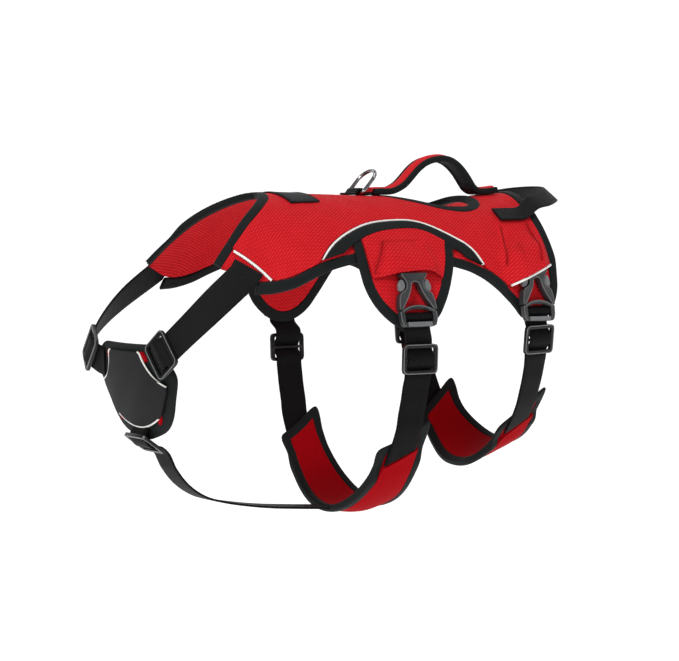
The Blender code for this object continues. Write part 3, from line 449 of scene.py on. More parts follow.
def point_values(mesh: bpy.types.Mesh) -> tuple[Array, Array]:
    """A mesh's points, one row each, and the point number of each face corner.

    Args:
        mesh: The mesh.

    Returns:
        The points and the corner's point numbers.
    """
    co = np.zeros(len(mesh.vertices) * 3, np.float32)
    mesh.vertices.foreach_get("co", co)
    index = np.zeros(len(mesh.loops), np.int32)
    mesh.loops.foreach_get("vertex_index", index)
    return co.reshape(-1, 3), index


@dataclass
class Rails:
    """The four long edges of a strip or a length of webbing, as sections in order.

    A section is low left, low right, high right, high left; low is the side to the wearer.
    """

    sections: Array
    closed: bool = False

    EASE_STEP, EASE_END = 2.0, 0.06

    @classmethod
    def of(cls, node: str) -> "Rails":
        """Reads the sections off a node's solid: rings of four points that follow each other.

        Args:
            node: The node's name.

        Returns:
            The rails.
        """
        shape = weld(node)
        near = [{edge.other_vert(vert).index for edge in vert.link_edges} for vert in shape.verts]
        co = np.array([vert.co[:] for vert in shape.verts])
        shape.free()
        girth = {}
        for ring in cls._rings(near):
            girth[frozenset(ring)] = (float(np.linalg.norm(co[ring] - co[ring[1:] + ring[:1]], axis=1).sum()), ring)
        for _, ring in sorted(girth.values()):
            groups = cls._groups(near, ring)
            if not groups or any(len(group) != 4 for group in groups):
                continue
            used = set(ring)
            ahead = cls._walk(near, co, ring, groups[0], used)
            closed = len(groups) == 2 and groups[1] <= used
            behind = [] if closed or len(groups) < 2 else cls._walk(near, co, ring, groups[1], used)
            order = behind[::-1] + [ring] + ahead
            if len(order) * 4 == len(co):
                return cls(co[np.array(order)], closed)._turned()
        raise ValueError(f"{node} has no plain run of sections")

    @staticmethod
    def _rings(near: list[set[int]]) -> Iterable[list[int]]:
        """Every ring of four points with no edge across it.

        Args:
            near: The neighbours of each point.

        Returns:
            The rings, point by point.
        """
        for a, ends in enumerate(near):
            for b in ends:
                for c in near[b] - ends - {a}:
                    for d in near[c] & ends - near[b] - {b}:
                        yield [a, b, c, d]

    @staticmethod
    def _groups(near: list[set[int]], ring: list[int]) -> list[set[int]]:
        """The points next to a ring, in connected groups.

        Args:
            near: The neighbours of each point.
            ring: The ring.

        Returns:
            The groups.
        """
        rest = set().union(*(near[v] for v in ring)) - set(ring)
        groups = []
        while rest:
            group = {rest.pop()}
            while grown := set().union(*(near[v] for v in group)) & rest:
                group |= grown
                rest -= grown
            groups.append(group)
        return groups

    @staticmethod
    def _walk(near: list[set[int]], co: Array, ring: list[int], first: set[int],
              used: set[int]) -> list[list[int]]:
        """The rings that follow one ring, each in the same order.

        Args:
            near: The neighbours of each point.
            co: The points' places.
            ring: The first ring.
            first: The points of the next one.
            used: The points already walked; it grows.

        Returns:
            The rings in order.
        """
        walked, after = [], first
        while len(after) == 4:
            ring = list(min(
                permutations(after),
                key=lambda order: (
                    -sum(w in near[v] for v, w in zip(ring, order))
                    - sum(order[k] in near[order[k - 1]] for k in range(4)),
                    float(np.linalg.norm(co[list(order)] - co[ring], axis=1).sum()),
                ),
            ))
            walked.append(ring)
            used |= after
            after = set().union(*(near[v] for v in ring)) - used
        return walked

    def _turned(self) -> "Rails":
        """The same rails with the corners numbered from low left.

        Returns:
            These rails.
        """
        side = [np.linalg.norm(self.sections[:, k] - self.sections[:, (k + 1) % 4], axis=1).mean() for k in range(4)]
        if side[1] + side[3] > side[0] + side[2]:
            self.sections = self.sections[:, [1, 2, 3, 0]]
        low = self.sections[:, :2].mean(axis=1)
        high = self.sections[:, 2:].mean(axis=1)
        out = low - np.stack([np.zeros(len(low)), low[:, 1], FORM.row(low[:, 1])[:, 1]], axis=1)
        if np.sum((high - low) * out) < 0:
            self.sections = self.sections[:, [2, 3, 0, 1]]
        return self

    def refined(self, step: float) -> "Rails":
        """The same rails on a smooth curve, with a section at about every step.

        Args:
            step: The distance between sections, in millimetres.

        Returns:
            The finer rails.
        """
        points = self.sections
        if self.closed:
            points = np.concatenate([points[-1:], points, points[:2]])
        middle = points.mean(axis=1)
        gaps = np.maximum(np.linalg.norm(np.diff(middle, axis=0), axis=1), 1e-6)
        slopes = np.diff(points, axis=0) / gaps[:, None, None]
        tangents = points * 0
        weight = (gaps[:-1] / (gaps[:-1] + gaps[1:]))[:, None, None]
        tangents[1:-1] = slopes[:-1] * (1 - weight) + slopes[1:] * weight
        tangents[0], tangents[-1] = slopes[0], slopes[-1]
        made = []
        start, end = (1, len(points) - 2) if self.closed else (0, len(points) - 1)
        for k in range(start, end):
            count = max(1, round(gaps[k] / step))
            for t in np.arange(count) / count:
                made.append(
                    (2 * t**3 - 3 * t**2 + 1) * points[k] + (t**3 - 2 * t**2 + t) * gaps[k] * tangents[k]
                    + (3 * t**2 - 2 * t**3) * points[k + 1] + (t**3 - t**2) * gaps[k] * tangents[k + 1]
                )
        if not self.closed:
            made.append(points[-1])
        return Rails(np.array(made), self.closed)

    def eased(self, start: float, end: float, times: int) -> "Rails":
        """The same rails with a stretch smoothed, from one share of the length to another.

        Args:
            start: Where the stretch starts.
            end: Where it ends.
            times: How often it is smoothed.

        Returns:
            The smoother rails.
        """
        fine = self.refined(self.EASE_STEP)
        count = len(fine.sections)
        place = np.arange(count) / (count - 1)
        share = smooth_step(place, start, start + self.EASE_END)
        share = share * (1 - smooth_step(place, end - self.EASE_END, end))
        for _ in range(times):
            middle = (fine.sections[:-2] + fine.sections[2:]) / 2
            fine.sections[1:-1] += (middle - fine.sections[1:-1]) * share[1:-1, None, None]
        return fine

    def width(self) -> float:
        """The mean width of the strip."""
        return float(np.linalg.norm(self.sections[:, 2] - self.sections[:, 3], axis=1).mean())

    def thickness(self) -> float:
        """The mean thickness of the strip."""
        return float(np.linalg.norm(self.sections[:, 1] - self.sections[:, 2], axis=1).mean())

    def line(self, across: float, up: float = 1.0) -> Array:
        """A line along the strip: across from -1 to 1, up 0 on the low side and 1 on the high one.

        Args:
            across: The place across the strip.
            up: The place through its thickness.

        Returns:
            The points of the line.
        """
        u = (across + 1) / 2
        a, b, c, d = self.sections.transpose(1, 0, 2)
        return (1 - up) * ((1 - u) * a + u * b) + up * ((1 - u) * d + u * c)


@dataclass(frozen=True)
class Section:
    """The rounded cross-section of a strip, in millimetres."""

    radius: float = 0.5
    side_radius: float | None = None
    crown: float = 0.0
    under_crown: float = 0.0
    spread: float = 0.0
    steps: int = 3
    flat_steps: int = 6

    def outline(self, width: float, thick: float) -> list[tuple[float, float]]:
        """Points round the section, as across from -1 to 1 and up from 0 to 1.

        Args:
            width: The strip's width.
            thick: Its thickness.

        Returns:
            The points in order.
        """
        half = width / 2
        ru = min(self.side_radius or self.radius, half * 0.9) / half
        rv = min(self.radius, thick * 0.49) / thick
        points: list[tuple[float, float]] = []
        for cu, cv, start in ((-1 + ru, rv, 180), (1 - ru, rv, 270), (1 - ru, 1 - rv, 0), (-1 + ru, 1 - rv, 90)):
            for k in range(self.steps + 1):
                turn = math.radians(start + 90 * k / self.steps)
                points.append((cu + ru * math.cos(turn), cv + rv * math.sin(turn)))
        full: list[tuple[float, float]] = []
        for k, here in enumerate(points):
            after = points[(k + 1) % len(points)]
            full.append(here)
            if abs(after[0] - here[0]) > 0.4:
                for j in range(1, self.flat_steps):
                    t = j / self.flat_steps
                    full.append((here[0] + (after[0] - here[0]) * t, here[1] + (after[1] - here[1]) * t))
        wide = 1 + 2 * self.spread / width
        return [
            (u * wide, v + (1 - min(1.0, abs(u)) ** 2) * (self.crown if v > 0.5 else -self.under_crown) / thick)
            for u, v in full
        ]


def sweep(name: str, rails: Rails, section: Section, step: float = STEP) -> Piece:
    """A strip swept along its rails, with its own map of metres along and across.

    Args:
        name: The new object's name.
        rails: The four edges of the strip.
        section: Its cross-section.
        step: The distance between sections, in millimetres.

    Returns:
        The new object.
    """
    fine = rails.refined(step)
    outline = section.outline(rails.width(), rails.thickness())
    size, count = len(outline), len(fine.sections)
    rings = np.stack([fine.line(u, v) for u, v in outline], axis=1)
    along = run_lengths(fine.line(0))
    across = np.array([u for u, v in outline]) * rails.width() / 2
    shape = bmesh.new()
    uv = shape.loops.layers.uv.new("cloth")
    verts = [[shape.verts.new(Vector(p) * MM) for p in ring] for ring in rings]
    total = along[-1] + (np.linalg.norm(fine.line(0)[0] - fine.line(0)[-1]) if rails.closed else 0)
    for k, i, face in bridge(shape, verts, rails.closed):
        if i < 0:
            for loop in face.loops:
                loop[uv].uv = (along[k] * MM, 0.0)
            continue
        n, j = (k + 1) % count, (i + 1) % size
        ends = (along[k], along[n] if n else total)
        for loop, (a, column) in zip(face.loops, ((ends[0], i), (ends[0], j), (ends[1], j), (ends[1], i))):
            loop[uv].uv = (a * MM, across[column] * MM)
    bmesh.ops.recalc_face_normals(shape, faces=shape.faces)
    return from_shape(name, shape, SHARP)


@dataclass(frozen=True)
class Crease:
    """A pressed fold between two (y, s) points: a sharp ridge with a hollow beside it, and painted shade in that
    hollow.
    """

    start: tuple[float, float]
    end: tuple[float, float]
    height: float = 1.5
    width: float = 1.3
    hollow: float = 0.7
    hollow_side: float = 1.0
    # dark: how strong the painted shade in the fold's hollow is
    dark: float = 0.75

    CREST, SHADE_CREST = 1.3, 1.6
    HOLLOW_OFF, HOLLOW_WIDTH = 2.4, 1.7
    SHADE_OFF, SHADE_WIDTH = 1.5, 0.8
    CUTS = (-4.2, -2.4, -1.2, -0.4, 0.4, 1.2, 2.4, 4.2)

    def _beside(self, off: float) -> tuple[tuple[float, ...], tuple[float, ...]]:
        """The fold's ends, moved to its hollow's side by a number of widths.

        Args:
            off: The number of widths.

        Returns:
            The moved ends.
        """
        way = np.subtract(self.end, self.start) / math.dist(self.end, self.start)
        shift = np.array([-way[1], way[0]]) * self.width * off * self.hollow_side
        return tuple(np.array(self.start) + shift), tuple(np.array(self.end) + shift)

    def relief(self, y: Array, side: Array) -> Array:
        """The fold's height at each point; side is the distance from the spine.

        Args:
            y: Places along the spine, in millimetres.
            side: Distances from the spine.

        Returns:
            The height at each point, in millimetres.
        """
        return (
            self.height * ridge(y, side, self.start, self.end, self.width, self.CREST)
            - self.hollow * ridge(y, side, *self._beside(self.HOLLOW_OFF), self.width * self.HOLLOW_WIDTH)
        )

    def shade(self, y: Array, side: Array) -> Array:
        """How much painted shade darkens the fold's hollow at each point; side is positive on the fold's own side.

        Args:
            y: Places along the spine, in millimetres.
            side: Distances from the spine.

        Returns:
            The painted shade, from 0 to 1.
        """
        ends = self._beside(self.SHADE_OFF)
        return self.dark * ridge(y, side, *ends, self.width * self.SHADE_WIDTH, self.SHADE_CREST)

    def refine(self, shape: Shape, sign: float, reach: float = 13.0) -> None:
        """Cuts narrow rows of faces along the fold in a laid-out panel.

        Args:
            shape: The panel's flat shape.
            sign: 1 on the left, -1 on the right.
            reach: How far from the fold faces are cut.
        """
        a, b = (Vector((y, s * sign, 0)) for y, s in (self.start, self.end))
        way = (b - a).normalized()
        across = Vector((-way.y, way.x, 0))
        for off in self.CUTS:
            near = []
            for face in shape.faces:
                spot = face.calc_center_median() - a
                along = spot.dot(way)
                if -reach < along < (b - a).length + reach and abs(spot.dot(across)) < reach:
                    near.append(face)
            geom = near + list({e for f in near for e in f.edges}) + list({v for f in near for v in f.verts})
            bmesh.ops.bisect_plane(
                shape, geom=geom, dist=0.02, plane_co=a + across * off * self.width, plane_no=across)


@dataclass
class Panel:
    """A cut piece of cloth, laid out flat, softened at its edges and lifted onto the form."""

    CORNER_ANGLE = 40
    UPRIGHT = 0.8
    HELD = 2.2

    name: str
    node: str
    relief: Relief | None = None
    edge: float = 0.5
    under: bool = False
    creases: Sequence[tuple[Crease, float]] = ()
    flat_area: float = field(default=0.0, init=False)
    flat_size: tuple[float, float] = field(default=(0.0, 0.0), init=False)

    def build(self) -> Piece:
        """Makes the panel's object, with its map in metres along the spine and up from the belly.

        Returns:
            The panel.
        """
        shape = weld(self.node)
        flat = FORM.locate(np.array([v.co[:] for v in shape.verts]), self.under)
        for vert, place in zip(shape.verts, flat):
            vert.co = place
        self.flat_area = sum(self._flat_area(face) for face in shape.faces) / 2 * MM * MM
        self.flat_size = tuple(float(np.ptp(flat[:, k])) * MM for k in (0, 1))
        for crease, sign in self.creases:
            crease.refine(shape, sign)
        corners = np.array([
            edge.verts[0].co[:2] for edge in sharp_edges(shape, self.CORNER_ANGLE)
            if abs(edge.verts[0].co.z - edge.verts[1].co.z) > self.UPRIGHT * edge.calc_length()
        ]).reshape(-1, 2)
        round_edges(shape, SHARP, self.edge)
        held = shape.verts.layers.float.new("crease_vert")
        for vert in shape.verts:
            if np.any(np.hypot(*(corners - vert.co[:2]).T) < self.HELD * self.edge):
                vert[held] = 1.0
        return self._lift(subdivide(from_shape(self.name, shape, None), SOFT_LEVELS))

    @staticmethod
    def _flat_area(face: bmesh.types.BMFace) -> float:
        """The area of a face as seen from straight above the layout."""
        points = [v.co for v in face.verts]
        return abs(sum(a.x * b.y - b.x * a.y for a, b in zip(points, points[1:] + points[:1]))) / 2

    def _lift(self, obj: Piece) -> Piece:
        """Moves the laid-out mesh onto the form, with its relief.

        Args:
            obj: The laid-out panel.

        Returns:
            The same panel.
        """
        mesh = obj.data
        flat, index = point_values(mesh)
        flat = flat.astype(float)
        uv = mesh.uv_layers.new(name="cloth")
        uv.data.foreach_set("uv", (flat[index][:, :2] * (MM, -MM)).astype(np.float32).ravel())
        if self.relief is not None:
            flat[:, 2] += self.relief(flat[:, 0], flat[:, 1], flat[:, 2])
        # Painted shade: each crease's hollow is darkened in the colour, through this point attribute
        shade = mesh.attributes.new("shade", "FLOAT", "POINT")
        dark = sum((crease.shade(flat[:, 0], flat[:, 1] * sign) for crease, sign in self.creases), flat[:, 0] * 0)
        shade.data.foreach_set("value", np.clip(dark, 0, 1).astype(np.float32))
        mesh.vertices.foreach_set("co", (FORM.place(flat, self.under) * MM).astype(np.float32).ravel())
        mesh.shade_smooth()
        mesh.update()
        return obj


# ---- Shader maths ----

class Wire:
    """A shader socket that Python's operators work on."""

    def __init__(self, board: "Board", socket: Socket) -> None:
        """Holds a socket of the board's tree."""
        self.board, self.socket = board, socket

    def __add__(self, other: "Wire | float") -> "Wire":
        """The sum."""
        return self.board.math("ADD", self, other)

    __radd__ = __add__

    def __sub__(self, other: "Wire | float") -> "Wire":
        """The difference."""
        return self.board.math("SUBTRACT", self, other)

    def __rsub__(self, other: float) -> "Wire":
        """The difference the other way round."""
        return self.board.math("SUBTRACT", other, self)

    def __mul__(self, other: "Wire | float") -> "Wire":
        """The product."""
        return self.board.math("MULTIPLY", self, other)

    __rmul__ = __mul__

    def wave(self) -> "Wire":
        """A wave from 0 to 1 that repeats with every 1."""
        return self.board.math("SINE", self * FULL_TURN) * 0.5 + 0.5

    def size(self) -> "Wire":
        """The value without its sign."""
        return self.board.math("ABSOLUTE", self)

    def rise(self, start: float, end: float) -> "Wire":
        """A smooth rise from 0 at start to 1 at end.

        Args:
            start: The value that gives 0.
            end: The value that gives 1.

        Returns:
            The rise.
        """
        return self.board.node(
            "ShaderNodeMapRange", {"interpolation_type": "SMOOTHSTEP"},
            {"Value": self, "From Min": start, "From Max": end},
        )


class Board:
    """Builds one material's nodes."""

    def __init__(self, name: str) -> None:
        """Starts a material with its Principled shader.

        Args:
            name: The material's name.
        """
        self.material = bpy.data.materials.new(name)
        self.material.use_nodes = True
        self.tree = self.material.node_tree
        self.shader = self.tree.nodes["Principled BSDF"]

    def node(self, kind: str, settings: dict, inputs: dict, output: int | str = 0) -> Wire:
        """Adds a node.

        Args:
            kind: The node's type.
            settings: Its settings, set first.
            inputs: Values or wires by socket name or number.
            output: Which output to return.

        Returns:
            The output as a wire.
        """
        made = self.tree.nodes.new(kind)
        for key, value in settings.items():
            setattr(made, key, value)
        for key, value in inputs.items():
            socket = made.inputs[key]
            if isinstance(value, Wire):
                self.tree.links.new(value.socket, socket)
            else:
                socket.default_value = value
        return Wire(self, made.outputs[output])

    def math(self, operation: str, *values: "Wire | float") -> Wire:
        """A Math node on wires and numbers."""
        return self.node("ShaderNodeMath", {"operation": operation}, dict(enumerate(values)))

    def mix(self, share: "Wire | float", a: Colour | Wire, b: Colour | Wire) -> Wire:
        """A colour between a and b.

        Args:
            share: The share of b.
            a: A colour.
            b: The other colour.

        Returns:
            The mixed colour.
        """
        a, b = (value if isinstance(value, Wire) else (*value, 1.0) for value in (a, b))
        return self.node("ShaderNodeMix", {"data_type": "RGBA"}, {0: share, 6: a, 7: b}, 2)

    def cloth_map(self) -> tuple[Wire, Wire]:
        """Metres along and across on the piece's own map."""
        spot = self.node("ShaderNodeUVMap", {"uv_map": "cloth"}, {})
        return tuple(self.node("ShaderNodeSeparateXYZ", {}, {0: spot}, axis) for axis in ("X", "Y"))

    def noise(self, scale: float, detail: float = 2.0, uv: bool = True) -> Wire:
        """Soft noise from 0 to 1, on the cloth's map or in space; scale is in waves a metre.

        Args:
            scale: Waves a metre.
            detail: How fine it gets.
            uv: Whether it follows the piece's own map.

        Returns:
            The noise.
        """
        if uv:
            spot = self.node("ShaderNodeUVMap", {"uv_map": "cloth"}, {})
        else:
            spot = self.node("ShaderNodeTexCoord", {}, {}, "Object")
        return self.node("ShaderNodeTexNoise", {}, {"Vector": spot, "Scale": scale, "Detail": detail})

    def set(self, **values: float | tuple[float, ...]) -> None:
        """Sets plain values on the shader's own sockets, named with _ for a space."""
        for key, value in values.items():
            self.shader.inputs[key.replace("_", " ")].default_value = value

    def feed(self, socket: str, wire: Wire) -> None:
        """Links a wire to one of the shader's sockets."""
        self.tree.links.new(wire.socket, self.shader.inputs[socket])

    def bump(self, height: Wire, depth: float, strength: float = 1.0) -> None:
        """Feeds a height from 0 to 1 to the normal; depth is in millimetres.

        Args:
            height: The height, from 0 to 1.
            depth: The depth, in millimetres.
            strength: The share of it that shows.
        """
        self.feed("Normal", self.node(
            "ShaderNodeBump", {}, {"Height": height, "Distance": depth * MM, "Strength": strength},
        ))


class Weave(Enum):
    """How a length of webbing is woven."""

    GRID = "grid"
    SLANT = "slant"
    PLAIN = "plain"


@dataclass(frozen=True)
class Twill:
    """Red cloth with fine slanting ribs."""

    name: str
    bright: Colour = (0.70, 0.016, 0.023)
    deep: Colour = (0.35, 0.001, 0.004)
    pitch: float = 2.1
    yarn: float = 0.8
    dash: float = 4.6
    slope: float = 37.0
    contrast: float = 1.0
    gloss: float = 0.10

    def material(self) -> Material:
        """Builds the material.

        Returns:
            The material.
        """
        board = Board(self.name)
        u, v = board.cloth_map()
        turn = math.radians(self.slope)
        drift = board.noise(55.0) * 0.6
        count = (v * math.cos(turn) - u * math.sin(turn)) * (1 / (self.pitch * MM)) + drift
        rib = count.wave()
        along = u * math.cos(turn) + v * math.sin(turn)
        yarn = (along * (1 / (self.yarn * MM)) + rib * 0.5).wave()
        dash = (along * (1 / (self.dash * MM)) + count * 0.5).wave()
        fibre, broad = board.noise(2600.0, 3.0), board.noise(22.0, 2.0)
        line = rib * (0.45 + dash * 0.55) * (0.45 + board.noise(70.0) * 1.0)
        # Painted shade from the panel's creases darkens the colour in their hollows
        shade = board.node("ShaderNodeAttribute", {"attribute_name": "shade"}, {}, "Fac")
        share = line * (0.9 * self.contrast) + yarn * 0.12 + fibre * 0.20 + broad * 0.22
        worn = board.mix(share, self.deep, self.bright)
        board.feed("Base Color", board.mix(shade, worn, tuple(c * 0.42 for c in self.deep)))
        board.feed("Roughness", 0.78 - rib * 0.10 + fibre * 0.08)
        board.bump(line * 0.75 + yarn * 0.25, 0.18 * self.contrast, 0.8)
        board.set(Sheen_Weight=self.gloss * 0.5, Sheen_Roughness=0.4, Sheen_Tint=(1.0, 0.2, 0.2, 1.0),
                  Specular_IOR_Level=self.gloss)
        return board.material


@dataclass(frozen=True)
class Webbing:
    """Black woven webbing with firm edges."""

    name: str
    weave: Weave = Weave.GRID
    dark: Colour = (0.0012, 0.0012, 0.0013)
    light: Colour = (0.0110, 0.0110, 0.0114)
    half_width: float = 12.5
    gloss: float = 0.13

    PITCHES = {Weave.GRID: (1.55, 1.4), Weave.SLANT: (0.9, 1.9), Weave.PLAIN: (0.9, 1.2)}

    def material(self) -> Material:
        """Builds the material.

        Returns:
            The material.
        """
        board = Board(self.name)
        u, v = board.cloth_map()
        fibre = board.noise(3000.0, 2.0)
        fine, coarse = self.PITCHES[self.weave]
        along = (u * (1 / (fine * MM))).wave()
        if self.weave is Weave.SLANT:
            slant = (u * (0.55 / (coarse * MM)) + v * (0.83 / (coarse * MM))).wave()
            pattern = slant * 0.7 + along * 0.3
        else:
            across = (v * (1 / (coarse * MM))).wave()
            pattern = along * across if self.weave is Weave.GRID else along * 0.6 + across * 0.4
        edge = v.size().rise((self.half_width - 1.6) * MM, (self.half_width - 0.5) * MM)
        height = pattern * (1 - edge * 0.6) + fibre * 0.12
        board.feed("Base Color", board.mix(height * 0.85 + board.noise(30.0) * 0.15, self.dark, self.light))
        board.feed("Roughness", 0.62 - pattern * 0.12)
        board.bump(height, 0.22, 0.9)
        board.set(Sheen_Weight=0.0, Specular_IOR_Level=self.gloss)
        return board.material


@dataclass(frozen=True)
class Tape:
    """Thin ribbed tape, as used for binding."""

    name: str
    dark: Colour = (0.0024, 0.0034, 0.0035)
    light: Colour = (0.0085, 0.0118, 0.0120)
    pitch: float = 0.9

    def material(self) -> Material:
        """Builds the material.

        Returns:
            The material.
        """
        board = Board(self.name)
        u, _ = board.cloth_map()
        rib = (u * (1 / (self.pitch * MM)) + board.noise(90.0) * 0.4).wave()
        fibre = board.noise(2600.0, 2.0)
        broad = board.noise(40.0)
        board.feed("Base Color", board.mix(rib * 0.35 + fibre * 0.3 + broad * 0.35, self.dark, self.light))
        board.feed("Roughness", 0.74 - rib * 0.08 + broad * 0.06)
        board.bump(rib * 0.7 + fibre * 0.3, 0.10, 0.7)
        board.set(Sheen_Weight=0.04, Sheen_Roughness=0.4, Specular_IOR_Level=0.16)
        return board.material


@dataclass(frozen=True)
class Plain:
    """Smooth close-woven cloth, such as the chest cover or the bare patch."""

    name: str
    dark: Colour
    light: Colour
    depth: float = 0.05
    sheen: float = 0.02

    def material(self) -> Material:
        """Builds the material.

        Returns:
            The material.
        """
        board = Board(self.name)
        u, v = board.cloth_map()
        weave = (u * (1 / (0.7 * MM))).wave() * 0.5 + (v * (1 / (0.7 * MM))).wave() * 0.5
        broad, fibre = board.noise(28.0, 3.0), board.noise(1800.0, 2.0)
        board.feed("Base Color", board.mix(weave * 0.25 + broad * 0.45 + fibre * 0.3, self.dark, self.light))
        board.feed("Roughness", 0.58 + broad * 0.14)
        board.bump(weave * 0.6 + fibre * 0.4, self.depth, 0.7)
        board.set(Sheen_Weight=self.sheen, Sheen_Roughness=0.45, Specular_IOR_Level=0.12)
        return board.material


@dataclass(frozen=True)
class Reflective:
    """Pale piping with a fine beaded surface."""

    name: str

    def material(self) -> Material:
        """Builds the material.

        Returns:
            The material.
        """
        board = Board(self.name)
        beads, broad = board.noise(5200.0, 1.0), board.noise(120.0, 2.0)
        board.feed("Base Color", board.mix(broad * 0.7 + beads * 0.3, (0.72, 0.71, 0.68), (0.95, 0.94, 0.90)))
        board.feed("Roughness", 0.34 + beads * 0.2)
        board.bump(beads, 0.04, 0.6)
        board.set(Specular_IOR_Level=0.6)
        return board.material


@dataclass(frozen=True)
class Moulded:
    """Moulded plastic with a fine spark texture."""

    name: str
    dark: Colour
    light: Colour
    roughness: float = 0.34
    gloss: float = 0.5

    def material(self) -> Material:
        """Builds the material.

        Returns:
            The material.
        """
        board = Board(self.name)
        grain, broad = board.noise(2400.0, 2.0, uv=False), board.noise(60.0, 2.0, uv=False)
        board.feed("Base Color", board.mix(broad * 0.7 + grain * 0.3, self.dark, self.light))
        board.feed("Roughness", self.roughness + grain * 0.10 + broad * 0.06)
        board.bump(grain, 0.02, 0.5)
        board.set(Specular_IOR_Level=self.gloss)
        return board.material


@dataclass(frozen=True)
class Steel:
    """Bright plated steel with light handling marks."""

    name: str

    def material(self) -> Material:
        """Builds the material.

        Returns:
            The material.
        """
        board = Board(self.name)
        marks = board.noise(700.0, 4.0, uv=False)
        board.feed("Base Color", board.mix(marks, (0.26, 0.26, 0.27), (0.46, 0.46, 0.47)))
        board.feed("Roughness", 0.14 + marks * 0.14)
        board.bump(marks, 0.01, 0.3)
        board.set(Metallic=1.0)
        return board.material


class Finishes:
    """Every material of the harness, made once."""

    def __init__(self) -> None:
        """Builds the materials."""
        self.twill = Twill("red_twill").material()
        self.pad_cloth = Twill(
            "red_pad_cloth", bright=(0.42, 0.002, 0.008), deep=(0.26, 0.001, 0.003), contrast=0.25, gloss=0.04,
        ).material()
        self.handle_cloth = Twill(
            "red_handle_cloth", bright=(0.74, 0.03, 0.035), deep=(0.55, 0.012, 0.016), contrast=0.35,
        ).material()
        self.red_thread = Plain("red_thread", (0.40, 0.006, 0.01), (0.58, 0.02, 0.026)).material()
        self.grid_webbing = Webbing("black_webbing_grid").material()
        self.slant_webbing = Webbing(
            "black_webbing_slant", Weave.SLANT, light=(0.0065, 0.0065, 0.0068), gloss=0.07).material()
        self.loop_webbing = Webbing("black_webbing_loop", Weave.PLAIN, half_width=8.0).material()
        self.tape = Tape("black_binding_tape").material()
        self.black_thread = Plain("black_thread", (0.010, 0.012, 0.013), (0.035, 0.038, 0.040)).material()
        self.cover = Plain("charcoal_cover", (0.006, 0.006, 0.0068), (0.0125, 0.0125, 0.0142), sheen=0.03).material()
        self.patch = Plain("black_patch", (0.006, 0.008, 0.009), (0.016, 0.019, 0.021), depth=0.03).material()
        self.piping = Reflective("reflective_piping").material()
        self.grey_plastic = Moulded("grey_plastic", (0.018, 0.0185, 0.020), (0.032, 0.033, 0.035)).material()
        # Pale plastic for the buckles' prongs and bar, and for their rims, which are painted highlights on the edges
        self.pale_plastic_and_highlight = Moulded("pale_grey_plastic", (0.105, 0.108, 0.112), (0.17, 0.174, 0.18), 0.3).material()
        # Pale material for the sliders' rims, which are painted highlights on their edges
        self.highlight_plastic = Moulded("black_plastic_edge", (0.14, 0.14, 0.145), (0.28, 0.28, 0.285), 0.25).material()
        self.black_plastic = Moulded(
            "black_plastic", (0.003, 0.003, 0.0034), (0.007, 0.007, 0.0076), 0.22, 0.30).material()
        self.steel = Steel("plated_steel").material()


# ---- Stitching ----

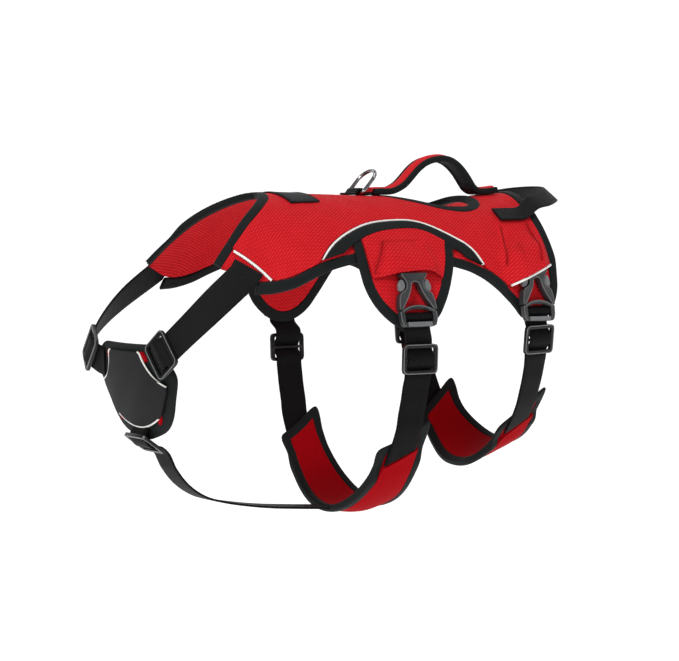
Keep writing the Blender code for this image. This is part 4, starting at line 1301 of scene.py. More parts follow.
class StitchTree:
    """A node tree that lays thread along lines: evenly spaced stitches that follow each line."""

    def __init__(self) -> None:
        """Builds the tree with its sizes as inputs."""
        self.tree = bpy.data.node_groups.new("stitches_along_lines", "GeometryNodeTree")
        face = self.tree.interface
        self.sockets = {}
        face.new_socket("Lines", in_out="INPUT", socket_type="NodeSocketGeometry")
        for name in ("Spacing", "Length", "Radius"):
            self.sockets[name] = face.new_socket(name, in_out="INPUT", socket_type="NodeSocketFloat").identifier
        self.sockets["Thread"] = face.new_socket(
            "Thread", in_out="INPUT", socket_type="NodeSocketMaterial").identifier
        face.new_socket("Stitches", in_out="OUTPUT", socket_type="NodeSocketGeometry")
        given, result = self._add("NodeGroupInput"), self._add("NodeGroupOutput")
        curve = self._add("GeometryNodeMeshToCurve", Mesh=given.outputs["Lines"])
        spaced = self._add(
            "GeometryNodeResampleCurve", {"mode": "LENGTH"}, Curve=curve.outputs[0],
            Length=given.outputs["Spacing"],
        )
        bead = self._add("GeometryNodeMeshUVSphere", Segments=6, Rings=4, Radius=1.0)
        way = self._add("GeometryNodeInputTangent")
        turn = self._add("FunctionNodeAlignRotationToVector", {"axis": "X"}, Vector=way.outputs[0])
        size = self._add(
            "ShaderNodeCombineXYZ", X=given.outputs["Length"], Y=given.outputs["Radius"], Z=given.outputs["Radius"])
        laid = self._add(
            "GeometryNodeInstanceOnPoints", Points=spaced.outputs[0], Instance=bead.outputs[0],
            Rotation=turn.outputs[0], Scale=size.outputs[0],
        )
        real = self._add("GeometryNodeRealizeInstances", Geometry=laid.outputs[0])
        smooth = self._add("GeometryNodeSetShadeSmooth", Geometry=real.outputs[0])
        done = self._add(
            "GeometryNodeSetMaterial", Geometry=smooth.outputs[0], Material=given.outputs["Thread"])
        self.tree.links.new(done.outputs[0], result.inputs[0])

    def _add(self, kind: str, settings: dict | None = None, **inputs: object) -> bpy.types.Node:
        """Adds a node with its settings, then links or values on its inputs.

        Args:
            kind: The node's type.
            settings: Its settings, set first.
            **inputs: Sockets to link, or values, by input name.

        Returns:
            The node.
        """
        node = self.tree.nodes.new(kind)
        for key, value in (settings or {}).items():
            setattr(node, key, value)
        for key, value in inputs.items():
            socket = node.inputs[key]
            if isinstance(value, Socket):
                self.tree.links.new(value, socket)
            else:
                socket.default_value = value
        return node

    def lay(self, name: str, lines: Sequence[Array], thread: Material, spacing: float = 3.0,
            length: float = 2.2, radius: float = 0.22) -> Piece:
        """Lays stitches on lines.

        Args:
            name: The new object's name.
            lines: Lines in millimetres.
            thread: The thread's material.
            spacing: From stitch to stitch, in millimetres.
            length: How long each stitch is.
            radius: Half the thread's thickness.

        Returns:
            The stitches as one plain mesh.
        """
        points = np.concatenate(lines) * MM
        edges, start = [], 0
        for line in lines:
            edges += [(start + k, start + k + 1) for k in range(len(line) - 1)]
            start += len(line)
        mesh = bpy.data.meshes.new(name)
        mesh.from_pydata(points.tolist(), edges, [])
        obj = add_piece(name, mesh, None)
        layer = obj.modifiers.new("stitches", "NODES")
        layer.node_group = self.tree
        for key, value in (("Spacing", spacing), ("Length", length / 2), ("Radius", radius)):
            layer[self.sockets[key]] = value * MM
        layer[self.sockets["Thread"]] = thread
        settle(obj)
        uv = obj.data.uv_layers.get("cloth") or obj.data.uv_layers.new(name="cloth")
        co, index = point_values(obj.data)
        uv.data.foreach_set("uv", co[index][:, 1:].ravel())
        return obj


@dataclass
class Seams:
    """Collects lines of stitching, and lays them at the end."""

    red: list[Array] = field(default_factory=list)
    black: list[Array] = field(default_factory=list)

    STEP = 3.0

    def along_strip(self, rails: Rails, inset: float = INSET, both: bool = False) -> None:
        """Black rows near one or both edges of a strip.

        Args:
            rails: The strip's rails.
            inset: The distance from its edge.
            both: Whether both edges have a row.
        """
        across = 1 - 2 * inset / rails.width()
        fine = rails.refined(self.STEP)
        for side in ((across, -across) if both else (across,)):
            line = fine.line(side)
            self.black.append(np.concatenate([line, line[:1]]) if rails.closed else line)

    def on_form(self, points: Outline, lift: float | Relief, red: bool = True) -> None:
        """A row along straight runs between (y, s) points.

        Args:
            points: The (y, s) corners of the row.
            lift: Its height, or the surface's heights.
            red: Whether the thread is red.
        """
        flat = []
        for a, b in zip(points, points[1:]):
            count = max(2, int(math.dist(a, b) / self.STEP))
            flat += [(a[0] + (b[0] - a[0]) * t, a[1] + (b[1] - a[1]) * t) for t in np.arange(count) / count]
        flat.append(points[-1])
        table = np.array([(y, s, 0.0) for y, s in flat])
        table[:, 2] = lift(table[:, 0], table[:, 1], table[:, 2]) if callable(lift) else lift
        (self.red if red else self.black).append(FORM.place(table))

    def build(self, finishes: Finishes) -> None:
        """Lays all the rows.

        Args:
            finishes: The harness's materials.
        """
        tree = StitchTree()
        for name, lines, thread, slot in (
            ("stitches_red", self.red, finishes.red_thread, "red_cloth"),
            ("stitches_black", self.black, finishes.black_thread, "black_binding"),
        ):
            if lines:
                finish_piece(tree.lay(name, lines, thread))


# ---- The sub-assemblies ----

def lay_strip(name: str, node: str, rails: Rails, section: Section, material: Material,
              step: float = STEP) -> Piece:
    """Sweeps a strip along its rails, dresses it and lets it stand for its node.

    Args:
        name: The piece's name.
        node: The node that it replaces.
        rails: The node's rails.
        section: The strip's section.
        material: Its material.
        step: The distance between sections.

    Returns:
        The piece.
    """
    piece = dress(sweep(name, rails, section, step), material)
    finish_piece(piece, [node])
    return piece


def bind(node: str, section: Section, finishes: Finishes, seams: Seams, step: float = STEP,
         inset: float = INSET, both: bool = True) -> None:
    """Lays binding tape along a node, with its rows of stitches.

    Args:
        node: The binding's node.
        section: The tape's section.
        finishes: The materials.
        seams: The rows of stitches.
        step: The distance between sections.
        inset: From the edge to the row.
        both: Whether both edges have a row.
    """
    rails = Rails.of(node)
    lay_strip(node + "_tape", node, rails, section, finishes.tape, step)
    seams.along_strip(rails, inset, both)


def lay_sheet(panel: Panel, material: Material) -> None:
    """Args:
        panel: The panel.
        material: Its material.
    """
    obj = dress(panel.build(), material)
    finish_piece(obj, [panel.node])
    low, high = sorted(panel.flat_size)
    min(panel.flat_area, low * high)


@dataclass
class Saddle:
    """The two layers of the saddle, its binding, its piping and the bare patch."""

    finishes: Finishes
    seams: Seams
    shell_top: float = 4.6
    tent: float = 9.2
    tape: Section = Section(radius=1.7, side_radius=1.9, crown=0.25, spread=0.45, steps=4, flat_steps=4)
    edging: Section = Section(radius=1.2, side_radius=0.7, crown=0.1, spread=-0.12, steps=4, flat_steps=1)
    shoulder_rows: Sequence[Outline] = (((-140.5, 69.0), (-126.6, 92.6)), ((-137.3, 68.4), (-123.6, 91.6)))
    patch_row: Outline = ((-83.6, -33.6), (-83.6, 33.6), (-58.4, 31.8), (-58.4, -31.8), (-83.6, -33.6))
    patch_top: float = 6.05
    creases: Sequence[Crease] = (
        Crease((101.5, 64), (89.5, 102), 1.6, 1.4, 0.9, -1.0),
        Crease((135.0, 62), (125.4, 102), 1.5, 1.4, 0.9, 1.0),
        Crease((112.0, 84), (108.0, 100), 0.6, 1.6, 0.3, 1.0, 0.25),
    )

    def tent_height(self, y: Array, s: Array) -> Array:
        """How far the outer layer stands up over the rear buckle.

        Args:
            y: Places along the spine, in millimetres.
            s: Arc lengths from the spine.

        Returns:
            The height at each point, in millimetres.
        """
        line = 101 + (138 - y) * 0.46
        along = smooth_step(y, 88, 100) * (1 - smooth_step(y, 134, 140))
        return self.tent * along * smooth_step(np.abs(s) - line, -38, -20)

    def shell_relief(self, y: Array, s: Array, lift: Array) -> Array:
        """Soft folds of the outer layer: two creases over the rear buckle, and easing along the seams.

        Args:
            y: Places along the spine, in millimetres.
            s: Arc lengths from the spine.
            lift: Heights above the form; not used.

        Returns:
            The height at each point, in millimetres.
        """
        side = np.abs(s)
        folds = sum(crease.relief(y, side) for crease in self.creases)
        ease = 0.22 * np.sin(y / 9.0 + side / 14.0) + 0.16 * np.sin(y / 5.3 - side / 8.0 + 1.3)
        broad = 0.45 * np.sin(y / 31.0 + 0.8) * np.sin(side / 26.0 + 0.4)
        return folds + (ease + broad) * smooth_step(side, 4, 18)

    def shell_surface(self, y: Array, s: Array, lift: Array) -> Array:
        """The height of the outer layer's face.

        Args:
            y: Places along the spine, in millimetres.
            s: Arc lengths from the spine.
            lift: Heights above the form.

        Returns:
            The height at each point, in millimetres.
        """
        return self.shell_top + self.tent_height(y, s) + self.shell_relief(y, s, lift) + 0.12

    def build(self) -> None:
        """Builds and dresses every piece of the saddle."""
        base = Panel("saddle_base_cloth", "saddle_base")
        both = [(crease, sign) for crease in self.creases for _, sign in SIDES]
        shell = Panel("saddle_shell_cloth", "saddle_shell", self.shell_relief, creases=both)
        label = Panel("patch_cloth", "label_patch", edge=0.25)
        for panel, material, slot, under in (
            (base, self.finishes.twill, "red_cloth", []),
            (shell, self.finishes.twill, "red_cloth", ["saddle_base_cloth"]),
            (label, self.finishes.patch, "label_cloth", ["saddle_shell_cloth"]),
        ):
            lay_sheet(panel, material)
        for name in ("binding_neck", "binding_rear", "binding_cutout", "binding_lower_L", "binding_lower_R"):
            bind(name, self.tape, self.finishes, self.seams)
        for side, _ in SIDES:
            bind("binding_arch_" + side, self.tape, self.finishes, self.seams)
            for kind in ("arch", "shoulder", "rear"):
                name = f"piping_{kind}_{side}"
                lay_strip(name + "_edge", name, Rails.of(name), self.edging, self.finishes.piping,
                          2.0)
        for side, sign in SIDES:
            for row in self.shoulder_rows:
                self.seams.on_form([(y, sign * s) for y, s in row], self.shell_surface)
        self.seams.on_form(self.patch_row, self.patch_top, red=False)


@dataclass
class Flaps:
    """The flap under each arch, its binding, and the hood over the buckle's anchor."""

    finishes: Finishes
    seams: Seams
    hood_middle: float = -7.0
    hood_top: float = 6.3
    tent: float = 8.0
    tape: Section = Section(radius=1.0, side_radius=1.4, crown=0.5, spread=0.45, steps=4, flat_steps=4)
    hood_row: Outline = ((-37, 110.8), (-31, 110.2), (-19, 109.3), (-6, 108.3), (8, 108.4), (21, 109.5))
    creases: Sequence[Crease] = (
        Crease((-22.5, 83), (-39.6, 111.5), 1.5, 1.1, 0.8, 1.0),
        Crease((8.4, 82), (12.2, 107.5), 1.9, 1.1, 1.0, -1.0),
        Crease((-24, 81.5), (9, 80.5), 0.5, 1.2, 0.2, 1.0, 0.3),
    )

    def hood_relief(self, y: Array, s: Array, lift: Array) -> Array:
        """The hood's two box creases, and the slack between them.

        Args:
            y: Places along the spine, in millimetres.
            s: Arc lengths from the spine.
            lift: Heights above the form; not used.

        Returns:
            The height at each point, in millimetres.
        """
        side = np.abs(s)
        folds = sum(crease.relief(y, side) for crease in self.creases)
        slack = 0.8 * np.sin((y - self.hood_middle) / 7.5) * smooth_step(side, 80, 108)
        return folds + slack * 0.5 + 0.25 * np.sin(side / 6.0 + y / 11.0)

    def hood_surface(self, y: Array, s: Array, lift: Array) -> Array:
        """The height of the hood's face.

        Args:
            y: Places along the spine, in millimetres.
            s: Arc lengths from the spine.
            lift: Heights above the form.

        Returns:
            The height at each point, in millimetres.
        """
        across = 1 - smooth_step(np.abs(y - self.hood_middle), 14, 30)
        rise = self.tent * across * smooth_step(np.abs(s), 76, 108)
        return self.hood_top + rise + self.hood_relief(y, s, lift) + 0.1

    @staticmethod
    def flap_relief(y: Array, s: Array, lift: Array) -> Array:
        """Slight waves of the flap."""
        return 0.25 * np.sin(y / 8.0 + np.abs(s) / 12.0)

    def build(self) -> None:
        """Builds and dresses the flaps on both sides."""
        for side, sign in SIDES:
            flap = Panel("girth_flap_cloth_" + side, "girth_flap_" + side, self.flap_relief)
            hood = Panel(
                "flap_hood_cloth_" + side, "flap_hood_" + side, self.hood_relief, edge=0.45,
                creases=[(crease, sign) for crease in self.creases],
            )
            for panel, under in ((flap, "saddle_base_cloth"), (hood, flap.name)):
                lay_sheet(panel, self.finishes.twill)
            bind("binding_flap_" + side, self.tape, self.finishes, self.seams)
            self.seams.on_form([(y, sign * s) for y, s in self.hood_row], self.hood_surface)


@dataclass
class HandleAndRing:
    """The lifting handle, the lead ring with its tab, and the loop behind the handle."""

    finishes: Finishes
    seams: Seams
    padding: Section = Section(radius=0.8, side_radius=1.2, crown=1.5, steps=4, flat_steps=8)
    folded: Section = Section(radius=2.0, side_radius=1.8, crown=0.2, spread=0.3, steps=5, flat_steps=2)
    sewn: tuple[float, float] = (1.5, 22.0)
    sewn_half: float = 0.82
    ring_half: float = 11.0
    ring_bend: float = 2.0
    ring_height: float = 24.5
    ring_wire: float = 1.6
    ring_lean: float = 48.0
    ring_lift: float = 6.8

    def build(self) -> None:
        """Builds and dresses them."""
        lay_strip("handle_underside", "handle_under", Rails.of("handle_under"), Section(radius=0.6),
                  self.finishes.grid_webbing, 2.0)
        top = lay_strip("handle_padding", "handle_top", Rails.of("handle_top"), self.padding,
                        self.finishes.handle_cloth, 2.0)
        for side, _ in SIDES:
            bind("handle_binding_" + side, self.folded, self.finishes, self.seams, 2.0, 0.8, both=False)
        lay_strip("ring_tab_webbing", "ring_tab", Rails.of("ring_tab"), Section(radius=0.6, crown=0.1),
                  self.finishes.loop_webbing, 1.2)
        loop = Rails.of("rear_loop")
        lay_strip("rear_loop_webbing", "rear_loop", loop, Section(radius=0.6, crown=0.15),
                  self.finishes.loop_webbing, 2.0)
        self._loop_rows(loop)
        self._lead_ring()

    def _lead_ring(self) -> None:
        """The ring of round wire: a straight bar, tight corners, straight sides and a round bow."""
        half, bend, rise = self.ring_half, self.ring_bend, self.ring_height - self.ring_half
        foot = half - bend
        quarter = FULL_TURN / 4
        line = [(u, 0.0) for u in np.linspace(-foot, foot, 7)[1:-1]]
        line += arc_points((foot, bend), bend, -quarter, 0, 7)
        line += [(half, v) for v in np.linspace(bend, rise, 6)[1:-1]]
        line += arc_points((0, rise), half, 0, 2 * quarter, 41)
        line += [(-half, v) for v in np.linspace(rise, bend, 6)[1:-1]]
        line += arc_points((-foot, bend), bend, 2 * quarter, 3 * quarter, 7)
        lean = math.radians(self.ring_lean)
        mould = Mould(LocalAxes(
            Vector((0, 0, self.ring_lift)), Vector((1, 0, 0)), Vector((0, math.cos(lean), math.sin(lean))),
            Vector((0, -math.sin(lean), math.cos(lean)))))
        mould.rim(line, 0.0, self.ring_wire, closed=True, sides=24)
        finish_piece(dress(mould.finish("lead_ring_wire"), self.finishes.steel), ["lead_ring"], body=RING)

    def _loop_rows(self, loop: Rails) -> None:
        """The crossed box of stitches at each sewn end of the loop.

        Args:
            loop: The loop's rails.
        """
        fine = loop.refined(2.0)
        along = run_lengths(fine.line(0))
        (start, end), half = self.sewn, self.sewn_half
        corners = ((start, -half), (start, half), (end, half), (end, -half))
        rows = list(zip(corners, corners[1:] + corners[:1])) + [(corners[0], corners[2]), (corners[1], corners[3])]
        for back in (False, True):
            for (a, u), (b, w) in rows:
                row = []
                for t in np.linspace(0, 1, 9):
                    wanted, line = a + (b - a) * t, fine.line(u + (w - u) * t, 1.08)
                    wanted = along[-1] - wanted if back else wanted
                    row.append([np.interp(wanted, along, line[:, k]) for k in range(3)])
                self.seams.black.append(np.array(row))


@dataclass
class LocalAxes:
    """A moulding's own directions: u across, v down and w out, in millimetres."""

    origin: Vector
    across: Vector
    down: Vector
    out: Vector

    @classmethod
    def of(cls, node: str, up_end: float, low: float) -> "LocalAxes":
        """Reads the axes off a moulding's solid.

        Args:
            node: The moulding's node.
            up_end: The v of its upper end.
            low: The w of its inner face.

        Returns:
            The axes.
        """
        shape = weld(node)
        co = np.array([vert.co[:] for vert in shape.verts])
        shape.free()
        middle = (co.min(axis=0) + co.max(axis=0)) / 2
        ways = np.linalg.svd(co - co.mean(axis=0), full_matrices=False)[2]
        ways = sorted(ways, key=lambda way: -float(np.ptp(co @ way)))
        trunk = np.array([0.0, max(middle[1], -150.0), -110.0])
        out = ways[2] * math.copysign(1, float(ways[2] @ (middle - trunk)))
        down = ways[1] * math.copysign(1, -float(ways[1][2]))
        across = np.cross(down, out)
        spots = [co @ way for way in (across, down, out)]
        origin = (
            across * (spots[0].min() + spots[0].max()) / 2
            + down * (spots[1].min() - up_end) + out * (spots[2].min() - low)
        )
        return cls(*(Vector(part) for part in (origin, across, down, out)))

    def point(self, u: float, v: float, w: float) -> Vector:
        """A point of the moulding, in metres."""
        return (self.origin + self.across * u + self.down * v + self.out * w) * MM


class Mould:
    """Collects plates and round edges of one moulding into a mesh."""

    def __init__(self, axes: LocalAxes) -> None:
        """Starts an empty mesh along the axes."""
        self.axes, self.shape = axes, bmesh.new()

    def plate(self, outline: Outline, low: float, high: float, edge: float) -> None:
        """A plate with rounded edges between two heights.

        Args:
            outline: The (u, v) corners.
            low: The lower w.
            high: The upper w.
            edge: How much its edges are rounded.
        """
        part = bmesh.new()
        floor = part.faces.new([part.verts.new((u, v, low)) for u, v in outline])
        lifted = bmesh.ops.extrude_face_region(part, geom=[floor])["geom"]
        bmesh.ops.translate(
            part, verts=[v for v in lifted if isinstance(v, bmesh.types.BMVert)], vec=(0, 0, high - low))
        bmesh.ops.recalc_face_normals(part, faces=part.faces)
        caps = [e for e in part.edges if abs(e.verts[0].co.z - e.verts[1].co.z) < 0.01]
        bmesh.ops.bevel(part, geom=caps, offset=edge, segments=3, profile=0.6, affect="EDGES", clamp_overlap=True)
        self._take(part)

    def rim(self, line: Outline, height: float, radius: float, closed: bool = False, sides: int = 8) -> None:
        """A thin round edge along a line at one height.

        Args:
            line: The (u, v) points.
            height: The w of the line.
            radius: Half its thickness.
            closed: Whether it joins up.
            sides: The number of flats round it.
        """
        part = bmesh.new()
        points = [Vector((u, v, height)) for u, v in line]
        count, rings = len(points), []
        for k, point in enumerate(points):
            ahead = points[(k + 1) % count] if closed or k + 1 < count else point
            behind = points[k - 1] if closed or k else point
            way = (ahead - behind).normalized()
            side = Vector((-way.y, way.x, 0))
            rings.append([
                part.verts.new(point + (side * math.cos(a) + Vector((0, 0, 1)) * math.sin(a)) * radius)
                for a in np.linspace(0, FULL_TURN, sides, endpoint=False)])
        bridge(part, rings, closed)
        bmesh.ops.recalc_face_normals(part, faces=part.faces)
        self._take(part)

    def _take(self, part: Shape) -> None:
        """Adds a part in its place.

        Args:
            part: The part, in u, v and w.
        """
        for vert in part.verts:
            vert.co = self.axes.point(*vert.co)
        mesh = bpy.data.meshes.new("part")
        part.to_mesh(mesh)
        part.free()
        self.shape.from_mesh(mesh)
        bpy.data.meshes.remove(mesh)

    def finish(self, name: str) -> Piece:
        """The finished object.

        Args:
            name: The object's name.

        Returns:
            The moulding.
        """
        bmesh.ops.triangulate(self.shape, faces=[f for f in self.shape.faces if len(f.verts) > 4])
        bmesh.ops.recalc_face_normals(self.shape, faces=self.shape.faces)
        return from_shape(name, self.shape, HARD_SMOOTH)


def smooth_line(points: Outline, closed: bool = False, steps: int = 5) -> list[tuple[float, float]]:
    """A smooth curve through the points.

    Args:
        points: The points.
        closed: Whether the curve joins up.
        steps: The number of steps between points.

    Returns:
        The finer points.
    """
    knots = [np.array(p, float) for p in points]
    ends = (knots[-1:], knots[:2]) if closed else ([2 * knots[0] - knots[1]], [2 * knots[-1] - knots[-2]])
    knots = ends[0] + knots + ends[1]
    fine = []
    for a, b, c, d in zip(knots, knots[1:], knots[2:], knots[3:]):
        for t in np.arange(steps) / steps:
            bend = (2 * a - 5 * b + 4 * c - d) * t**2 + (3 * b - a - 3 * c + d) * t**3
            fine.append(tuple(0.5 * (2 * b + (c - a) * t + bend)))
    if not closed:
        fine.append(tuple(knots[-2]))
    return fine


def mirrored(half: Outline) -> list[tuple[float, float]]:
    """A half outline and its mirror image, as one round."""
    return list(half) + [(-u, v) for u, v in reversed(half) if abs(u) > 1e-6]


@dataclass
class Hardware:
    """Side-release buckles and sliders."""

    finishes: Finishes
    edge: float = 0.45
    slider_edge: float = 0.6
    sharp: float = 32.0
    socket_end: float = -21.5
    slider_half: tuple[float, float] = (16.5, 12.0)
    slider_corner: float = 4.0
    slider_face: float = 1.7
    flank: Outline = (
        (11.9, -21.5), (12.5, -20.4), (11.0, -17.9), (9.1, -15.2), (8.4, -12.0), (9.0, -9.2), (11.4, -6.9),
        (14.6, -5.2), (16.2, -2.2), (17.3, 2.6), (17.7, 8.0),
    )
    throat: Outline = (
        (14.6, 8.0), (11.7, 3.9), (8.0, -1.5), (5.2, -6.6), (3.9, -10.4), (3.1, -12.8), (1.6, -14.0), (0, -14.3),
    )
    prong: Outline = (
        (10.6, -15.9), (12.8, -16.2), (14.6, -13.6), (15.4, -10.6), (14.9, -7.6), (13.0, -6.7), (11.0, -8.0),
        (9.6, -9.9), (9.2, -12.4),
    )

    def soften(self, node: str, edge: float) -> Piece:
        """A copy of a moulding with its edges rounded.

        Args:
            node: The moulding's node.
            edge: How much its edges are rounded.

        Returns:
            The copy.
        """
        shape = weld(node)
        bmesh.ops.dissolve_limit(
            shape, angle_limit=math.radians(0.6), verts=shape.verts, edges=shape.edges, delimit={"NORMAL"})
        round_edges(shape, self.sharp, edge, 3)
        bmesh.ops.scale(shape, verts=shape.verts, vec=(MM,) * 3)
        bmesh.ops.triangulate(shape, faces=[f for f in shape.faces if len(f.verts) > 4])
        return from_shape(node + "_moulding", shape, HARD_SMOOTH)

    def socket(self, node: str, axes: LocalAxes) -> None:
        """The A-shaped socket with its raised neck.

        Args:
            node: The socket's node.
            axes: Its own directions.
        """
        mould = Mould(axes)
        flank, throat = smooth_line(self.flank), smooth_line(self.throat)
        mould.plate(mirrored(flank + throat), 0.0, 5.6, 0.7)
        neck = smooth_line([(8.6, -21.0), (8.2, -18.5), (6.2, -16.4), (3.2, -15.6), (0, -15.4)])
        mould.plate(mirrored([(0, -21.0)] + neck), 5.3, 6.1, 0.3)
        piece = dress(mould.finish(node + "_moulding"), self.finishes.grey_plastic)
        finish_piece(piece, [node])

    def trim(self, name: str, axes: LocalAxes) -> None:
        """The pale rims, which are painted highlights along the buckle's edges, with the pale prongs at the sides and
        the bright bar of one buckle.

        Args:
            name: The piece's name.
            axes: The socket's own directions.
        """
        mould = Mould(axes)
        throat = smooth_line(self.throat)
        # The pale rims along the throat, the flanks and the arch are painted highlights on the buckle's edges
        mould.rim([(u + 0.55, v - 0.35) for u, v in throat[:-1]] + [(0, -14.9)]
                  + [(-u - 0.55, v - 0.35) for u, v in throat[:-1][::-1]], 5.55, 0.34)
        for sign in (1, -1):
            mould.rim([(sign * (u - 0.75), v) for u, v in smooth_line(self.flank)[4:]], 5.45, 0.26)
            mould.plate([(sign * u, v) for u, v in smooth_line(self.prong, True, 3)], 1.2, 4.7, 0.9)
            mould.rim([(sign * u, v) for u, v in smooth_line([(16.9, 9.8), (16.7, 16.0), (15.2, 20.0), (13.4, 20.9)])],
                      4.95, 0.34)
        arch = [(-15.2, 9.4), (-10.5, 6.9), (-5, 5.5), (0, 5.1), (5, 5.5), (10.5, 6.9), (15.2, 9.4)]
        mould.rim(smooth_line(arch, steps=3), 5.0, 0.36)
        bar = [(-11.4, 18.6), (-11.0, 17.9), (11.0, 17.9), (11.4, 18.6), (11.4, 20.9), (11.0, 21.5),
               (-11.0, 21.5), (-11.4, 20.9)]
        mould.plate(bar, 1.6, 5.9, 1.1)
        finish_piece(dress(mould.finish(name), self.finishes.pale_plastic_and_highlight))

    def build(self) -> None:
        """Dresses every buckle and slider."""
        for row in ROWS:
            for side, _ in SIDES:
                node = f"buckle_socket_{row}_{side}"
                axes = LocalAxes.of(node, self.socket_end, 0.0)
                self.socket(node, axes)
                self.trim(f"buckle_trim_{row}_{side}", axes)
                node = f"buckle_plug_{row}_{side}"
                piece = dress(self.soften(node, self.edge), self.finishes.grey_plastic)
                finish_piece(piece, [node])
        sliders = [f"girth_slider_{row}_{side}" for row in ROWS for side, _ in SIDES]
        for node in sliders + ["shoulder_slider_L", "shoulder_slider_R", "sternum_slider"]:
            piece = dress(self.soften(node, self.slider_edge), self.finishes.black_plastic)
            finish_piece(piece, [node])
            self.slider_highlight(node)

    def slider_highlight(self, node: str) -> None:
        """The painted highlight round a slider's face: a thin pale rim along its edge.

        Args:
            node: The slider's node.
        """
        (wide, tall), bend = self.slider_half, self.slider_corner
        corner = arc_points((wide - bend, tall - bend), bend, 0, FULL_TURN / 4, 5)
        ring = corner + [(-u, v) for u, v in corner[::-1]]
        ring += [(-u, -v) for u, v in corner] + [(u, -v) for u, v in corner[::-1]]
        mould = Mould(LocalAxes.of(node, -tall, self.slider_face))
        # The pale rim is a painted highlight along the slider's edge
        mould.rim([(u * 0.965, v * 0.955) for u, v in ring], 4.55, 0.3, closed=True)
        finish_piece(dress(mould.finish(node + "_rim"), self.finishes.highlight_plastic))


@dataclass
class Straps:
    """The girth, shoulder and sternum webbing."""

    finishes: Finishes

    def build(self) -> None:
        """Builds and dresses every length."""
        woven = Section(radius=0.7, side_radius=0.6, crown=0.12)
        rows = [(f"girth_strap_{row}_{side}", self.finishes.slant_webbing) for row in ROWS for side, _ in SIDES]
        rows += [("shoulder_strap_L", self.finishes.grid_webbing), ("shoulder_strap_R", self.finishes.grid_webbing),
                 ("sternum_strap", self.finishes.slant_webbing)]
        for node, material in rows:
            rails = Rails.of(node)
            if node.startswith("shoulder"):
                first, last = rails.sections[0].mean(axis=0), rails.sections[-1].mean(axis=0)
                rails = rails.eased(*((0.06, 0.72) if first[2] > last[2] else (0.28, 0.94)), 60)
            lay_strip(node + "_webbing", node, rails, woven, material, 1.6)


@dataclass
class BellyPads:
    """The padded sleeves under the belly, with their binding."""

    finishes: Finishes
    seams: Seams
    rise: float = 1.6
    wave: float = 0.35
    outer: float = 2.5
    middles: tuple[float, float] = (-5.0, 126.0)
    mouths: tuple[float, float] = (86.0, 58.0)
    tape: Section = Section(radius=1.3, side_radius=1.5, crown=0.3, spread=0.8, steps=4, flat_steps=3)

    def relief(self, y: Array, t: Array, lift: Array, middle: float, mouth: float) -> Array:
        """The filling's crown and slight waves on a sleeve's outer face.

        Args:
            y: Places along the spine, in millimetres.
            t: Arc lengths from the belly's middle line.
            lift: Heights above the form.
            middle: The y of the sleeve's middle.
            mouth: The t of its open ends.

        Returns:
            The height at each point, in millimetres.
        """
        inside = 1 - smooth_step(np.abs(t), mouth - 16, mouth - 2)
        crown = (1 - smooth_step(np.abs(y - middle), 4, 24)) * inside
        wave = self.wave * np.sin(t / 7.0 + y / 9.0) * inside
        return (self.rise * crown + wave) * (lift > self.outer)

    def build(self) -> None:
        """Builds and dresses both sleeves."""
        for row, middle, mouth in zip(ROWS, self.middles, self.mouths):
            relief = partial(self.relief, middle=middle, mouth=mouth)
            pad = Panel("belly_pad_cloth_" + row, "belly_pad_" + row, relief, edge=0.8, under=True)
            obj = dress(pad.build(), self.finishes.pad_cloth)
            finish_piece(obj, [pad.node])
            bind("belly_binding_" + row, self.tape, self.finishes, self.seams, 2.2, 1.2)


